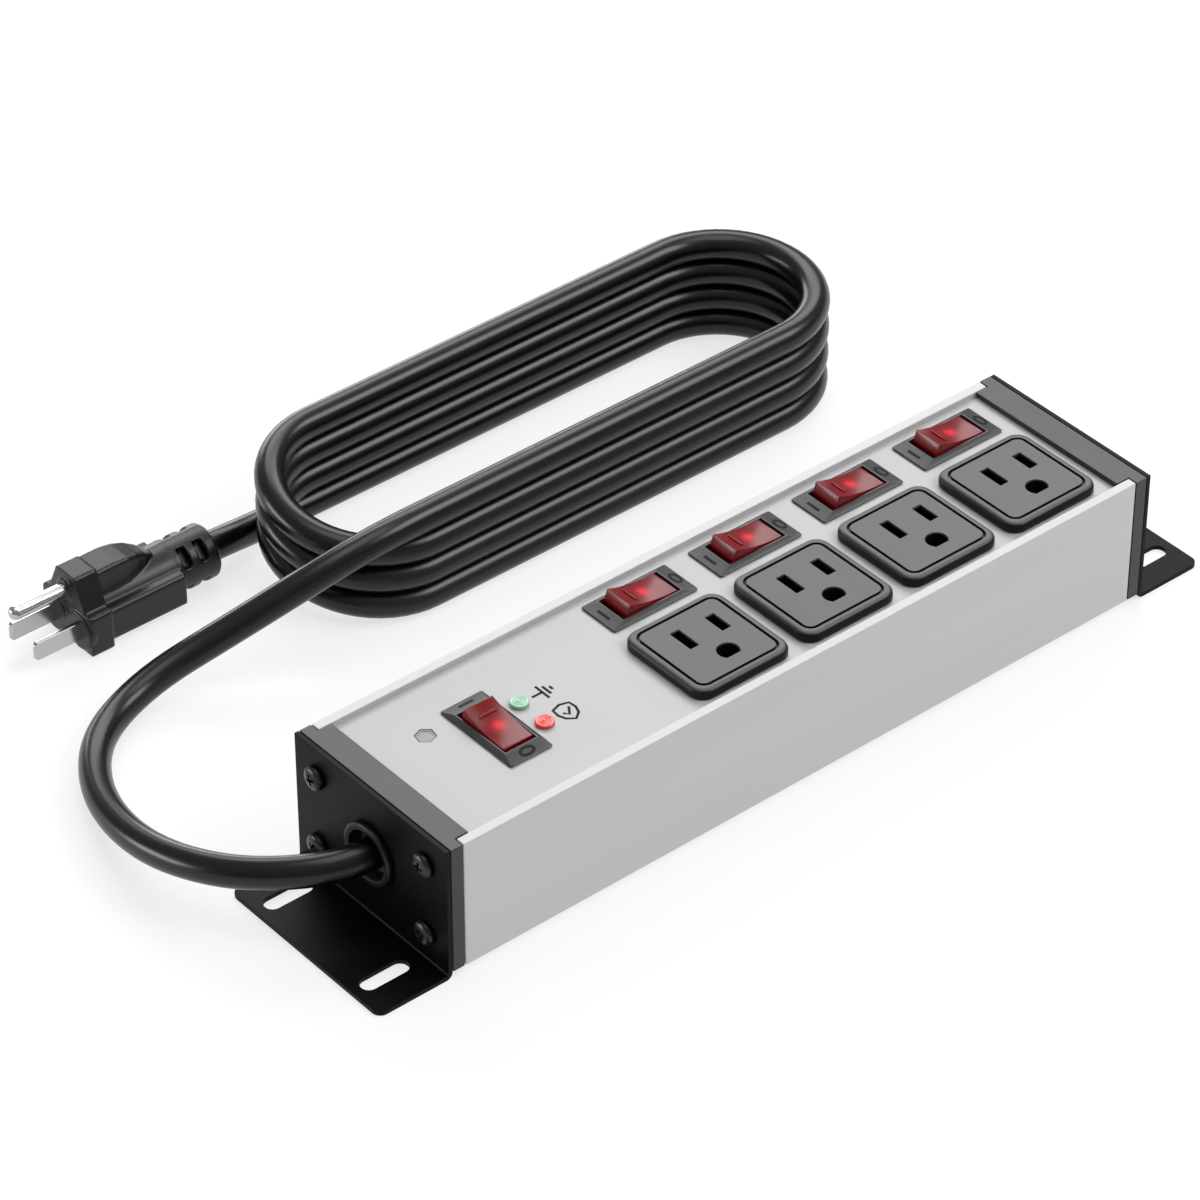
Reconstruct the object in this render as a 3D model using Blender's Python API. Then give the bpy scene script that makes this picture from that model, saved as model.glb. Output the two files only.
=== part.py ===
"""Metal four-outlet power strip with switched outlets, end brackets and a hanked mains cord.

Frame: +X runs along the strip from the cord end to the far end, +Y points to the side where
the hank of cord lies, +Z is up.  The origin is at the bottom centre of the strip.  Lengths
below are in millimetres and are turned into metres where a mesh is made.
"""
import math

import bmesh
import bpy
import numpy as np

MM = 0.001
GAP = 0.3                     # clearance between touching pieces

# Housing
HALF_WIDTH = 34.2             # strip half width
CHANNEL_END = 129.3           # aluminium channel ends at plus and minus this
BODY_BOTTOM = 2.1             # underside of the channel above the feet
RAIL_TOP = 46.4               # top of the two side rails
WALL = 1.8                    # channel wall
LIP_INNER = 31.0              # inner edge of each rail
PANEL_TOP = 44.4
PANEL_THICK = 1.5
PANEL_HALF_WIDTH = 32.1
LEDGE_INNER = 30.5            # ledge that carries the panel
LEDGE_THICK = 1.4
LEDGE_TAPER = 1.2

# End caps, brackets and their screws
CAP_INNER = 129.6
CAP_OUTER = 133.7
TONGUE_INNER = 124.8          # cap tongue between the rails
CAP_BLOCK_END = 121.0
CAP_BLOCK_TOP = 42.4
CAP_RECESS_X = 127.6          # pocket in the block's inner end
CAP_RECESS_HALF_Y = 19.5
CAP_RECESS_Z = (7.0, 40.0)
SHEET_INNER = 134.0
SHEET_OUTER = 135.5
SHEET = SHEET_OUTER - SHEET_INNER
BEND_R = 2.2                  # outside radius of the bend
FLANGE_END = 160.4
FLANGE_CORNER = 3.0
SLOT_CENTRE_X = 148.9
SLOT_CENTRE_Y = 22.2
SLOT_LENGTH = 16.4
SLOT_WIDTH = 5.6
SCREW_Y = 24.5
SCREW_ROWS = (11.4, 36.3)
SCREW_HOLE_R = 2.1
SCREW_HEAD_R = 3.9
SCREW_HEAD_H = 2.2
SCREW_SHANK_R = 1.6
SCREW_LENGTH = 12.0
RECESS_HALF_LONG = 2.0
RECESS_HALF_WIDE = 0.45
RECESS_DEPTH = 1.2

# Outlets: a row of four, blade slots towards +Y and ground towards -Y
OUTLET_COUNT = 4
OUTLET_PITCH = 40.8
OUTLET_FIRST_X = -18.5        # midway between the blade slots of the first outlet
BLADE_LINE_Y = -5.8
BLADE_HALF_SPACING = 6.35
GROUND_BELOW = 11.9           # ground pin centre below the blade line
FACE_SHIFT_X = -1.7           # face centre relative to the blade slots
FACE_SHIFT_Y = -4.85
FACE_HALF = 17.9
FACE_TOP = 47.95
FACE_CORNER = 5.0
FACE_SIDE_TOP = 1.8           # the side is upright up to this far below the top
NECK_HALF = 15.0
NECK_CORNER = 2.2
NECK_BOTTOM = 40.0
BACK_BOTTOM = 24.0
NEUTRAL_SLOT = 8.8
LIVE_SLOT = 7.6
SLOT_HALF = 1.45
GROUND_HOLE_R = 3.3
GROUND_FLAT = 3.1
POCKET_MARGIN = 0.9
GROUND_POCKET = (4.0, 3.0)    # half width and half length

# Contacts and the strips that join them
LEAF_TOP = 39.0
LEAF_FOOT = 26.4
LEAF_OUTER = 1.9
LEAF_INNER = 1.1
LEAF_HALF_Y = 2.8
TAIL_BOTTOM = 24.2
TAIL_HALF = 0.6
BUS_BOTTOM = 22.2
BUS_THICK = 1.2
BUS_LEAF_TOP = 38.6
BUS_LEAF_THICK = 0.8
BUS_START = 11.6              # beyond the first outlet's middle
BUS_FINISH = 9.0              # beyond the last outlet's middle
LIVE_BUS_Y = (17.6, 22.4)
LIVE_BUS_Z = (26.2, 27.4)
LIVE_BUS_START = 16.0
LIVE_BUS_FINISH = 10.0

# Switches, length along their own Y, tipped about their own X
BEZEL_HALF_X = 7.65
BEZEL_HALF_Y = 16.0
BEZEL_RIM = 46.0
WELL_HALF_X = 5.6
WELL_HALF_Y = 11.0
WELL_FLOOR = 39.2
CASE_HALF_X = 6.9
CASE_HALF_Y = 13.6
CASE_BOTTOM = 28.0
ROCKER_AXIS_Z = 43.0
ROCKER_HALF_X = 5.25
ROCKER_TIP_Y = 9.1
ROCKER_TIP_H = 4.85
ROCKER_SAG = 0.85
ROCKER_SHOULDER = (9.6, 1.0)  # (y, z) of the end's widest point, about the pivot
ROCKER_FOOT = (8.0, -1.5)
ROCKER_TOP_STEPS = 10
ROCKER_TILT = math.radians(10)
PIVOT_R = 1.0
PIVOT_HALF = 6.3
PIVOT_BORE_HALF = 8.0
MAIN_SWITCH = (-89.6, 0.4)
OUTLET_SWITCH_DX = -1.2       # outlet switch centre relative to its blade slots
OUTLET_SWITCH_Y = 20.1

# Lamps, hexagonal plug and the cord's gland
LAMP_X = -77.3
LAMP_Y = (5.2, -6.2)
LAMP_R = 2.88
LAMP_STEM_R = 2.2
LAMP_STEM_BOTTOM = 40.6
LAMP_SHOULDER = 45.55
LAMP_TOP = 46.0
HEX_CENTRE = (-106.5, 11.3)
HEX_R = 3.1
HEX_TURN = math.radians(20)
HEX_BOTTOM = 39.0
HEX_SUNK = 0.6
CORD_Z = 24.3                 # height of the gland's centre
CORD_R = 4.9
GLAND_R = 8.9
GLAND_FLANGE_R = 10.3
GLAND_FACE = 137.4
GLAND_INNER_END = 127.9
GLAND_MOUTH_R = 8.3
GLAND_FUNNEL_R = 7.6
GLAND_FUNNEL_X = (134.6, 133.4)
CLAMP_X = (-127.2, -121.6)
CLAMP_HALF_Y = 9.0
CLAMP_Z = (15.0, 33.6)

# Surge board and its three varistors, under the switch end of the panel
BOARD_X = (-112.0, -46.0)
BOARD_HALF_Y = 26.0
BOARD_Z = (5.6, 7.2)
VARISTOR_COUNT = 3
VARISTOR_R = 6.0
VARISTOR_HALF = 2.2
VARISTOR_FIRST = (-66.0, -14.0)
VARISTOR_STEP = (8.0, 14.0)

# The cord: a lead from the gland, a hank of four stacked turns, and a tail to the plug
TURN_PITCH = 9.9
TURNS = 4
HANK_NEAR_Y = 102.5
HANK_FAR_Y = 163.0
HANK_LEFT_X = -32.1
HANK_RIGHT_X = 109.6
HANK_END_STEPS = 12
LEAD_ROUTE = (
    (-137.5, 0.0, 24.3), (-147.0, 2.6, 23.9), (-156.6, 10.0, 22.2), (-166.0, 22.4, 19.4),
    (-171.9, 37.4, 16.2), (-173.9, 53.5, 12.6), (-172.6, 69.0, 9.6), (-168.6, 84.0, 7.3),
    (-161.8, 97.6, 5.8), (-151.6, 109.4, 5.05), (-138.0, 117.0, 5.4), (-122.6, 119.2, 8.5),
    (-107.2, 116.4, 13.8), (-92.0, 111.8, 20.4), (-77.6, 107.2, 27.0), (-63.0, 103.8, 32.2),
    (-48.0, 102.5, 34.5), (-32.1, 102.5, 34.65))
TAIL_ROUTE = (
    (-32.1, 163.0, 4.95), (-42.0, 163.0, 4.95), (-51.0, 162.6, 5.4), (-60.0, 161.5, 6.7),
    (-67.5, 160.0, 8.4), (-75.0, 159.5, 9.05))
TAIL_END = (-79.6, 159.5, 9.05)
LEAD_START = (-119.5, 0.0, 24.3)
HANK_TRIM_X = -47.0           # the solid hank stands in for the cord beyond here
LEAD_JOIN = (-44.0, 102.5, 34.6)
TAIL_JOIN = (-44.0, 163.0, 5.0)
TUBE_STEP = 2.0 * 2 * CORD_R

# Plug, blades towards -X, ground pin up
PLUG_Y = 159.5
PLUG_BLADE_Z = 7.5
PLUG_CORD_Z = 9.05
PLUG_FRONT = -127.3
PLUG_FLANGE_BACK = -119.2
PLUG_BODY_BACK = -91.0
PLUG_END = -75.5
PLUG_RELIEF_R = 9.0
PLUG_BORE_START = -80.0
BLADE_HALF_WIDE = 3.18
BLADE_HALF_THICK = 0.75
BLADE_TIP = -144.2
PIN_TIP = -147.6
PIN_R = 2.4
BLADE_POCKET = 3.0


# ---------------------------------------------------------------- materials and meshes

def material(name, colour, metallic=0.0, roughness=0.5):
    """A Principled material, made once for each name."""
    found = bpy.data.materials.get(name)
    if found:
        return found
    made = bpy.data.materials.new(name)
    made.use_nodes = True
    shader = made.node_tree.nodes["Principled BSDF"]
    shader.inputs["Base Color"].default_value = (*colour, 1.0)
    shader.inputs["Metallic"].default_value = metallic
    shader.inputs["Roughness"].default_value = roughness
    return made


def aluminium():
    return material("anodised_aluminium", (0.56, 0.56, 0.57), 0.9, 0.38)


def panel_grey():
    return material("panel_grey", (0.66, 0.66, 0.66), 0.3, 0.45)


def black_plastic():
    return material("black_plastic", (0.03, 0.03, 0.032), 0.0, 0.4)


def black_steel():
    return material("black_steel", (0.02, 0.02, 0.022), 0.5, 0.5)


def outlet_grey():
    return material("outlet_grey", (0.2, 0.2, 0.2), 0.0, 0.45)


def rocker_red():
    return material("rocker_red", (0.35, 0.01, 0.02), 0.0, 0.2)


def brass():
    return material("brass", (0.7, 0.5, 0.2), 1.0, 0.35)


def nickel():
    return material("nickel", (0.75, 0.75, 0.76), 1.0, 0.25)


def cord_black():
    return material("cord_black", (0.015, 0.015, 0.016), 0.0, 0.35)


def object_from_bmesh(name, shape, finish, smooth_angle=35):
    """Turn a bmesh in millimetres into a shaded object in metres."""
    bmesh.ops.recalc_face_normals(shape, faces=shape.faces)
    for vertex in shape.verts:
        vertex.co *= MM
    mesh = bpy.data.meshes.new(name)
    shape.to_mesh(mesh)
    shape.free()
    mesh.materials.append(finish)
    mesh.shade_smooth()
    mesh.set_sharp_from_angle(angle=math.radians(smooth_angle))
    made = bpy.data.objects.new(name, mesh)
    bpy.context.scene.collection.objects.link(made)
    return made


def loft(name, rings, finish, closed=False):
    """Skin rings of equally many points; the ends are capped unless the rings close."""
    shape = bmesh.new()
    rows = [[shape.verts.new(point) for point in ring] for ring in rings]
    pairs = list(zip(rows, rows[1:]))
    if closed:
        pairs.append((rows[-1], rows[0]))
    for low, high in pairs:
        count = len(low)
        for i in range(count):
            j = (i + 1) % count
            shape.faces.new((low[i], low[j], high[j], high[i]))
    if not closed:
        shape.faces.new(list(reversed(rows[0])))
        shape.faces.new(rows[-1])
    return object_from_bmesh(name, shape, finish)


def rounded_rect(half_x, half_y, radius, steps=4, centre=(0.0, 0.0)):
    """Corners of a rounded rectangle as (x, y), anticlockwise."""
    points = []
    for quarter, (sx, sy) in enumerate(((1, 1), (-1, 1), (-1, -1), (1, -1))):
        for step in range(steps + 1):
            angle = math.radians(90 * quarter + 90 * step / steps)
            x = sx * (half_x - radius) + radius * math.cos(angle)
            y = sy * (half_y - radius) + radius * math.sin(angle)
            points.append((centre[0] + x, centre[1] + y))
    return points


def level(points, z):
    return [(x, y, z) for x, y in points]


def box(name, low, high, finish):
    (x0, y0, z0), (x1, y1, z1) = low, high
    outline = [(x0, y0), (x1, y0), (x1, y1), (x0, y1)]
    return loft(name, [level(outline, z0), level(outline, z1)], finish)


def extrude_x(name, outline, x0, x1, finish):
    """Extrude a (y, z) outline along X."""
    rings = [[(x, y, z) for y, z in outline] for x in (x0, x1)]
    return loft(name, rings, finish)


def axis_point(axis, along, radius, angle, centre):
    """A point at a radius and an angle round a line through centre."""
    u = radius * math.cos(angle)
    v = radius * math.sin(angle)
    offset = {"X": (along, u, v), "Y": (v, along, u), "Z": (u, v, along)}[axis]
    return tuple(c + o for c, o in zip(centre, offset))


def turned(name, profile, axis, finish, centre=(0, 0, 0), segments=24, hollow=False):
    """Turn (radius, along) points round an axis; a hollow profile closes on itself."""
    rings = []
    for radius, along in profile:
        rings.append([axis_point(axis, along, radius, math.tau * i / segments, centre)
                      for i in range(segments)])
    return loft(name, rings, finish, closed=hollow)


def cylinder(name, radius, start, end, axis, finish, centre=(0, 0, 0), segments=20):
    return turned(name, ((radius, start), (radius, end)), axis, finish, centre, segments)


def combine(target, tool, operation):
    """Boolean the tool into the target and remove the tool."""
    modifier = target.modifiers.new("combine", "BOOLEAN")
    modifier.operation = operation
    modifier.solver = "EXACT"
    modifier.object = tool
    bpy.context.view_layer.update()
    graph = bpy.context.evaluated_depsgraph_get()
    mesh = bpy.data.meshes.new_from_object(target.evaluated_get(graph))
    old = target.data
    target.modifiers.remove(modifier)
    target.data = mesh
    mesh.name = target.name
    bpy.data.meshes.remove(old)
    bpy.data.objects.remove(tool)
    mesh.shade_smooth()
    mesh.set_sharp_from_angle(angle=math.radians(35))


def cut(target, tool):
    combine(target, tool, "DIFFERENCE")


def fuse(target, tool):
    combine(target, tool, "UNION")


def copy_of(source, name, location, turn=(0.0, 0.0, 0.0)):
    """Another object with the same mesh, placed in millimetres."""
    made = bpy.data.objects.new(name, source.data)
    made.location = [value * MM for value in location]
    made.rotation_euler = turn
    bpy.context.scene.collection.objects.link(made)
    return made


def outlet_x(index):
    return OUTLET_FIRST_X + index * OUTLET_PITCH


# ---------------------------------------------------------------- smooth routes

def spline_points(route, step):
    """Evenly spaced points on a natural cubic spline through a route."""
    knots = np.array(route, dtype=float)
    chords = np.linalg.norm(np.diff(knots, axis=0), axis=1)
    t = np.concatenate(([0.0], np.cumsum(chords)))
    count = len(t)
    system = np.eye(count)
    right = np.zeros((count, 3))
    for i in range(1, count - 1):
        before = t[i] - t[i - 1]
        after = t[i + 1] - t[i]
        system[i, i - 1:i + 2] = (before, 2 * (before + after), after)
        right[i] = 6 * ((knots[i + 1] - knots[i]) / after - (knots[i] - knots[i - 1]) / before)
    bend = np.linalg.solve(system, right)
    pieces = max(2, int(round(t[-1] / step)))
    points = []
    for s in np.linspace(0.0, t[-1], pieces + 1):
        i = min(count - 2, int(np.searchsorted(t, s, side="right")) - 1)
        h = t[i + 1] - t[i]
        a = (t[i + 1] - s) / h
        b = (s - t[i]) / h
        point = a * knots[i] + b * knots[i + 1]
        point += ((a ** 3 - a) * bend[i] + (b ** 3 - b) * bend[i + 1]) * h * h / 6
        points.append(tuple(point))
    return points


def tube(name, route, radius, finish, step, resolution=3, lead_in=(), lead_out=()):
    """A round lead along a route, as a bevelled curve; lead_in and lead_out stay as given."""
    curve = bpy.data.curves.new(name, "CURVE")
    curve.dimensions = "3D"
    curve.bevel_depth = radius * MM
    curve.bevel_resolution = resolution
    curve.render_resolution_u = 0
    curve.use_fill_caps = True
    points = list(lead_in) + spline_points(route, step) + list(lead_out)
    spline = curve.splines.new("POLY")
    spline.points.add(len(points) - 1)
    for slot, (x, y, z) in zip(spline.points, points):
        slot.co = (x * MM, y * MM, z * MM, 1.0)
    curve.materials.append(finish)
    made = bpy.data.objects.new(name, curve)
    bpy.context.scene.collection.objects.link(made)
    return made


# ---------------------------------------------------------------- housing

def channel_outline():
    """The extrusion's section: floor, two walls, panel ledges and top rails."""
    inside = HALF_WIDTH - WALL
    panel_low = PANEL_TOP - PANEL_THICK
    half = [
        (HALF_WIDTH, BODY_BOTTOM), (HALF_WIDTH, RAIL_TOP), (LIP_INNER, RAIL_TOP),
        (LIP_INNER, PANEL_TOP + GAP), (inside, PANEL_TOP + GAP), (inside, panel_low - GAP),
        (LEDGE_INNER, panel_low - GAP), (LEDGE_INNER, panel_low - GAP - LEDGE_THICK),
        (inside, panel_low - GAP - LEDGE_THICK - LEDGE_TAPER), (inside, BODY_BOTTOM + WALL)]
    return half + [(-y, z) for y, z in reversed(half)]


def make_channel():
    return extrude_x("housing_channel", channel_outline(), -CHANNEL_END, CHANNEL_END, aluminium())


def hexagon_outline(radius):
    outline = []
    for i in range(6):
        angle = HEX_TURN + math.radians(60 * i)
        outline.append((HEX_CENTRE[0] + radius * math.cos(angle), HEX_CENTRE[1] + radius * math.sin(angle)))
    return outline


def make_panel():
    """Top sheet with openings for the outlets, switches, lamps and the hexagonal plug."""
    finish = panel_grey()
    low = PANEL_TOP - PANEL_THICK
    panel = box("top_panel", (-CHANNEL_END, -PANEL_HALF_WIDTH, low),
                (CHANNEL_END, PANEL_HALF_WIDTH, PANEL_TOP), finish)
    above = PANEL_TOP + 1
    below = low - 1

    def open_outline(outline):
        cut(panel, loft("hole", [level(outline, below), level(outline, above)], finish))

    def open_switch(x, y, half_x, half_y):
        cut(panel, box("hole", (x - half_x, y - half_y, below), (x + half_x, y + half_y, above), finish))

    long_half = CASE_HALF_Y + GAP
    short_half = CASE_HALF_X + GAP
    neck = NECK_HALF + GAP
    for index in range(OUTLET_COUNT):
        x = outlet_x(index)
        centre = (x + FACE_SHIFT_X, BLADE_LINE_Y + FACE_SHIFT_Y)
        open_outline(rounded_rect(neck, neck, NECK_CORNER + GAP, 3, centre))
        open_switch(x + OUTLET_SWITCH_DX, OUTLET_SWITCH_Y, long_half, short_half)
    open_switch(*MAIN_SWITCH, short_half, long_half)
    for y in LAMP_Y:
        cut(panel, cylinder("hole", LAMP_STEM_R + GAP, below, above, "Z", finish, (LAMP_X, y, 0), 16))
    open_outline(hexagon_outline(HEX_R + GAP))
    return panel


def make_end_cap(name, side):
    """Plastic cap: outer plate, tongue between the rails, and a block that plugs the channel."""
    finish = black_plastic()

    def slab(x0, x1, half_y, z0, z1):
        low_x, high_x = sorted((side * x0, side * x1))
        return box("slab", (low_x, -half_y, z0), (high_x, half_y, z1), finish)

    cap = slab(CAP_INNER, CAP_OUTER, HALF_WIDTH, BODY_BOTTOM, RAIL_TOP)
    cap.name = name
    fuse(cap, slab(TONGUE_INNER, CAP_INNER + 1, LIP_INNER - GAP, PANEL_TOP + GAP, RAIL_TOP))
    fuse(cap, slab(CAP_BLOCK_END, CAP_INNER + 1, LEDGE_INNER - GAP, BODY_BOTTOM + WALL + GAP, CAP_BLOCK_TOP))
    cut(cap, slab(CAP_BLOCK_END - 1, CAP_RECESS_X, CAP_RECESS_HALF_Y, *CAP_RECESS_Z))
    for y in (-SCREW_Y, SCREW_Y):
        for z in SCREW_ROWS:
            cut(cap, cylinder("hole", SCREW_SHANK_R + GAP, side * (CAP_BLOCK_END - 1),
                              side * (CAP_OUTER + 1), "X", finish, (0, y, z), 16))
    if side < 0:
        cut(cap, cylinder("hole", GLAND_R + GAP, -CAP_OUTER - 1, 1 - CAP_BLOCK_END, "X", finish,
                          (0, 0, CORD_Z), 24))
    return cap


def bracket_outline(side):
    """L-shaped section in (x, z) with a rounded bend."""
    steps = 4
    inner = BEND_R - SHEET
    points = [(SHEET_INNER, RAIL_TOP), (SHEET_INNER, BEND_R)]
    for step in range(1, steps + 1):
        angle = math.radians(180 + 90 * step / steps)
        points.append((SHEET_INNER + BEND_R + BEND_R * math.cos(angle), BEND_R + BEND_R * math.sin(angle)))
    points += [(FLANGE_END, 0.0), (FLANGE_END, SHEET)]
    for step in range(steps + 1):
        angle = math.radians(270 - 90 * step / steps)
        points.append((SHEET_OUTER + inner + inner * math.cos(angle),
                       SHEET + inner + inner * math.sin(angle)))
    points.append((SHEET_OUTER, RAIL_TOP))
    return [(side * x, z) for x, z in points]


def corner_cutter(side, sign):
    """What lies outside one rounded corner of a foot."""
    corner = (side * (FLANGE_END - FLANGE_CORNER), sign * (HALF_WIDTH - FLANGE_CORNER))
    reach = FLANGE_CORNER + 2
    arc = []
    for step in range(6):
        angle = math.radians(90 * step / 5)
        arc.append((corner[0] + side * FLANGE_CORNER * math.cos(angle),
                    corner[1] + sign * FLANGE_CORNER * math.sin(angle)))
    outline = [(corner[0] + side * reach, corner[1]),
               (corner[0] + side * reach, corner[1] + sign * reach),
               (corner[0], corner[1] + sign * reach)]
    return outline + list(reversed(arc))


def make_bracket(name, side):
    """Bent steel end plate with a foot: screw holes, a gland hole and two slots."""
    finish = black_steel()
    rings = [[(x, y, z) for x, z in bracket_outline(side)] for y in (-HALF_WIDTH, HALF_WIDTH)]
    bracket = loft(name, rings, finish)
    below = -1
    above = SHEET + 1
    plate = (side * (SHEET_INNER - 1), side * (SHEET_OUTER + 1))
    for sign in (-1, 1):
        outline = corner_cutter(side, sign)
        cut(bracket, loft("corner", [level(outline, below), level(outline, above)], finish))
        slot = rounded_rect(SLOT_LENGTH / 2, SLOT_WIDTH / 2, SLOT_WIDTH / 2 - 0.01, 6,
                            (side * SLOT_CENTRE_X, sign * SLOT_CENTRE_Y))
        cut(bracket, loft("slot", [level(slot, below), level(slot, above)], finish))
        for z in SCREW_ROWS:
            cut(bracket, cylinder("hole", SCREW_HOLE_R, *plate, "X", finish, (0, sign * SCREW_Y, z), 16))
    if side < 0:
        cut(bracket, cylinder("hole", GLAND_R + GAP, *plate, "X", finish, (0, 0, CORD_Z), 28))
    return bracket


def make_screws():
    """Pan-head cross-recess screws through each bracket into its cap."""
    finish = black_steel()
    head = SCREW_HEAD_H
    profile = ((SCREW_SHANK_R, -SCREW_LENGTH), (SCREW_SHANK_R, 0.0), (SCREW_HEAD_R, 0.0),
               (SCREW_HEAD_R, head * 0.4), (SCREW_HEAD_R * 0.84, head * 0.78),
               (SCREW_HEAD_R * 0.45, head))
    master = turned("end_screw_master", profile, "X", finish, segments=16)
    long_half = RECESS_HALF_LONG
    wide_half = RECESS_HALF_WIDE
    for half_y, half_z in ((long_half, wide_half), (wide_half, long_half)):
        cut(master, box("recess", (head - RECESS_DEPTH, -half_y, -half_z),
                        (head + 1, half_y, half_z), finish))
    for side, end in ((-1, "cord_end"), (1, "far_end")):
        number = 0
        for z in SCREW_ROWS:
            for y in (-SCREW_Y, SCREW_Y):
                number += 1
                turn = (0.0, 0.0, math.pi if side < 0 else 0.0)
                copy_of(master, f"{end}_screw_{number}", (side * (SHEET_OUTER + GAP), y, z), turn)
    bpy.data.objects.remove(master)


def make_gland():
    """Rubber grommet round the cord, with a funnel mouth."""
    bore = CORD_R + GAP
    inner = SHEET_OUTER + GAP
    edge = 0.5
    profile = ((bore, GLAND_INNER_END), (GLAND_R, GLAND_INNER_END), (GLAND_R, inner),
               (GLAND_FLANGE_R, inner), (GLAND_FLANGE_R, GLAND_FACE - edge),
               (GLAND_FLANGE_R - edge, GLAND_FACE), (GLAND_MOUTH_R, GLAND_FACE),
               (GLAND_MOUTH_R - edge, GLAND_FACE - edge), (GLAND_FUNNEL_R, GLAND_FUNNEL_X[0]),
               (bore, GLAND_FUNNEL_X[1]))
    mirrored = [(radius, -along) for radius, along in profile]
    turned("cord_gland", mirrored, "X", black_plastic(), (0, 0, CORD_Z), 24, hollow=True)


def make_cord_clamp():
    """Block round the cord inside the end cap."""
    finish = black_plastic()
    clamp = box("cord_clamp", (CLAMP_X[0], -CLAMP_HALF_Y, CLAMP_Z[0]),
                (CLAMP_X[1], CLAMP_HALF_Y, CLAMP_Z[1]), finish)
    cut(clamp, cylinder("hole", CORD_R + GAP, CLAMP_X[0] - 1, CLAMP_X[1] + 1, "X", finish,
                        (0, 0, CORD_Z), 20))


# ---------------------------------------------------------------- outlets

def slot_boxes(depth_low, depth_high, grow=0.0):
    """The two blade slots of an outlet, as boxes about the blade line's middle."""
    boxes = []
    half = SLOT_HALF + grow
    for sign, length in ((-1, NEUTRAL_SLOT), (1, LIVE_SLOT)):
        x = sign * BLADE_HALF_SPACING
        boxes.append(((x - half, -length / 2 - grow, depth_low), (x + half, length / 2 + grow, depth_high)))
    return boxes


def ground_outline():
    """Round hole with a flat on the side away from the blades."""
    steps = 14
    start = math.asin(-GROUND_FLAT / GROUND_HOLE_R)
    points = []
    for step in range(steps + 1):
        angle = start + (math.pi - 2 * start) * step / steps
        points.append((GROUND_HOLE_R * math.cos(angle), -GROUND_BELOW + GROUND_HOLE_R * math.sin(angle)))
    return points


def make_outlet_face():
    """Raised face with two blade slots and a ground hole."""
    finish = outlet_grey()
    centre = (FACE_SHIFT_X, FACE_SHIFT_Y)
    under = PANEL_TOP + GAP
    rings = [level(rounded_rect(NECK_HALF, NECK_HALF, NECK_CORNER, 3, centre), NECK_BOTTOM),
             level(rounded_rect(NECK_HALF, NECK_HALF, NECK_CORNER, 3, centre), under),
             level(rounded_rect(FACE_HALF, FACE_HALF, FACE_CORNER, 3, centre), under)]
    for inset, drop in ((0.0, FACE_SIDE_TOP), (0.5, 0.55), (1.7, 0.0)):
        half = FACE_HALF - inset
        rings.append(level(rounded_rect(half, half, FACE_CORNER - inset, 3, centre), FACE_TOP - drop))
    face = loft("outlet_face_master", rings, finish)
    high = FACE_TOP + 1
    for corners in slot_boxes(NECK_BOTTOM - 1, high):
        cut(face, box("slot", *corners, finish))
    hole = ground_outline()
    cut(face, loft("ground", [level(hole, NECK_BOTTOM - 1), level(hole, high)], finish))
    return face


def make_outlet_back():
    """Contact carrier under each face, with through pockets for the contacts."""
    finish = black_plastic()
    cx, cy = FACE_SHIFT_X, FACE_SHIFT_Y
    half = NECK_HALF - 0.2
    back = box("outlet_back_master", (cx - half, cy - half, BACK_BOTTOM),
               (cx + half, cy + half, NECK_BOTTOM - GAP), finish)
    below = BACK_BOTTOM - 1
    above = NECK_BOTTOM + 1
    for corners in slot_boxes(below, above, POCKET_MARGIN):
        cut(back, box("pocket", *corners, finish))
    wide, long = GROUND_POCKET
    cut(back, box("pocket", (-wide, -GROUND_BELOW - long, below),
                  (wide, -GROUND_BELOW + long, above), finish))
    return back


def make_hot_contact():
    """Two spring leaves and a solder tail for the switched blade."""
    x = BLADE_HALF_SPACING
    crotch = LEAF_FOOT + 1.0
    outline = [(x - LEAF_OUTER, LEAF_TOP), (x - LEAF_OUTER, LEAF_FOOT), (x - TAIL_HALF, LEAF_FOOT),
               (x - TAIL_HALF, TAIL_BOTTOM), (x + TAIL_HALF, TAIL_BOTTOM), (x + TAIL_HALF, LEAF_FOOT),
               (x + LEAF_OUTER, LEAF_FOOT), (x + LEAF_OUTER, LEAF_TOP), (x + LEAF_INNER, LEAF_TOP),
               (x + LEAF_INNER, crotch), (x - LEAF_INNER, crotch), (x - LEAF_INNER, LEAF_TOP)]
    rings = [[(px, y, pz) for px, pz in outline] for y in (-LEAF_HALF_Y, LEAF_HALF_Y)]
    return loft("hot_contact_master", rings, brass())


def make_bus(name, y, half_y, offset_x, leaf):
    """A brass strip under the outlets with a pair of upright leaves for each one."""
    top = BUS_BOTTOM + BUS_THICK
    first = outlet_x(0) - BUS_START
    last = outlet_x(OUTLET_COUNT - 1) + BUS_FINISH
    outline = [(first, BUS_BOTTOM), (last, BUS_BOTTOM), (last, top)]
    for index in reversed(range(OUTLET_COUNT)):
        x = outlet_x(index) + offset_x
        for inner, outer in ((leaf, leaf + BUS_LEAF_THICK), (-leaf - BUS_LEAF_THICK, -leaf)):
            outline += [(x + outer, top), (x + outer, BUS_LEAF_TOP)]
            outline += [(x + inner, BUS_LEAF_TOP), (x + inner, top)]
    outline.append((first, top))
    rings = [[(px, y + side * half_y, pz) for px, pz in outline] for side in (-1, 1)]
    return loft(name, rings, brass())


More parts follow.
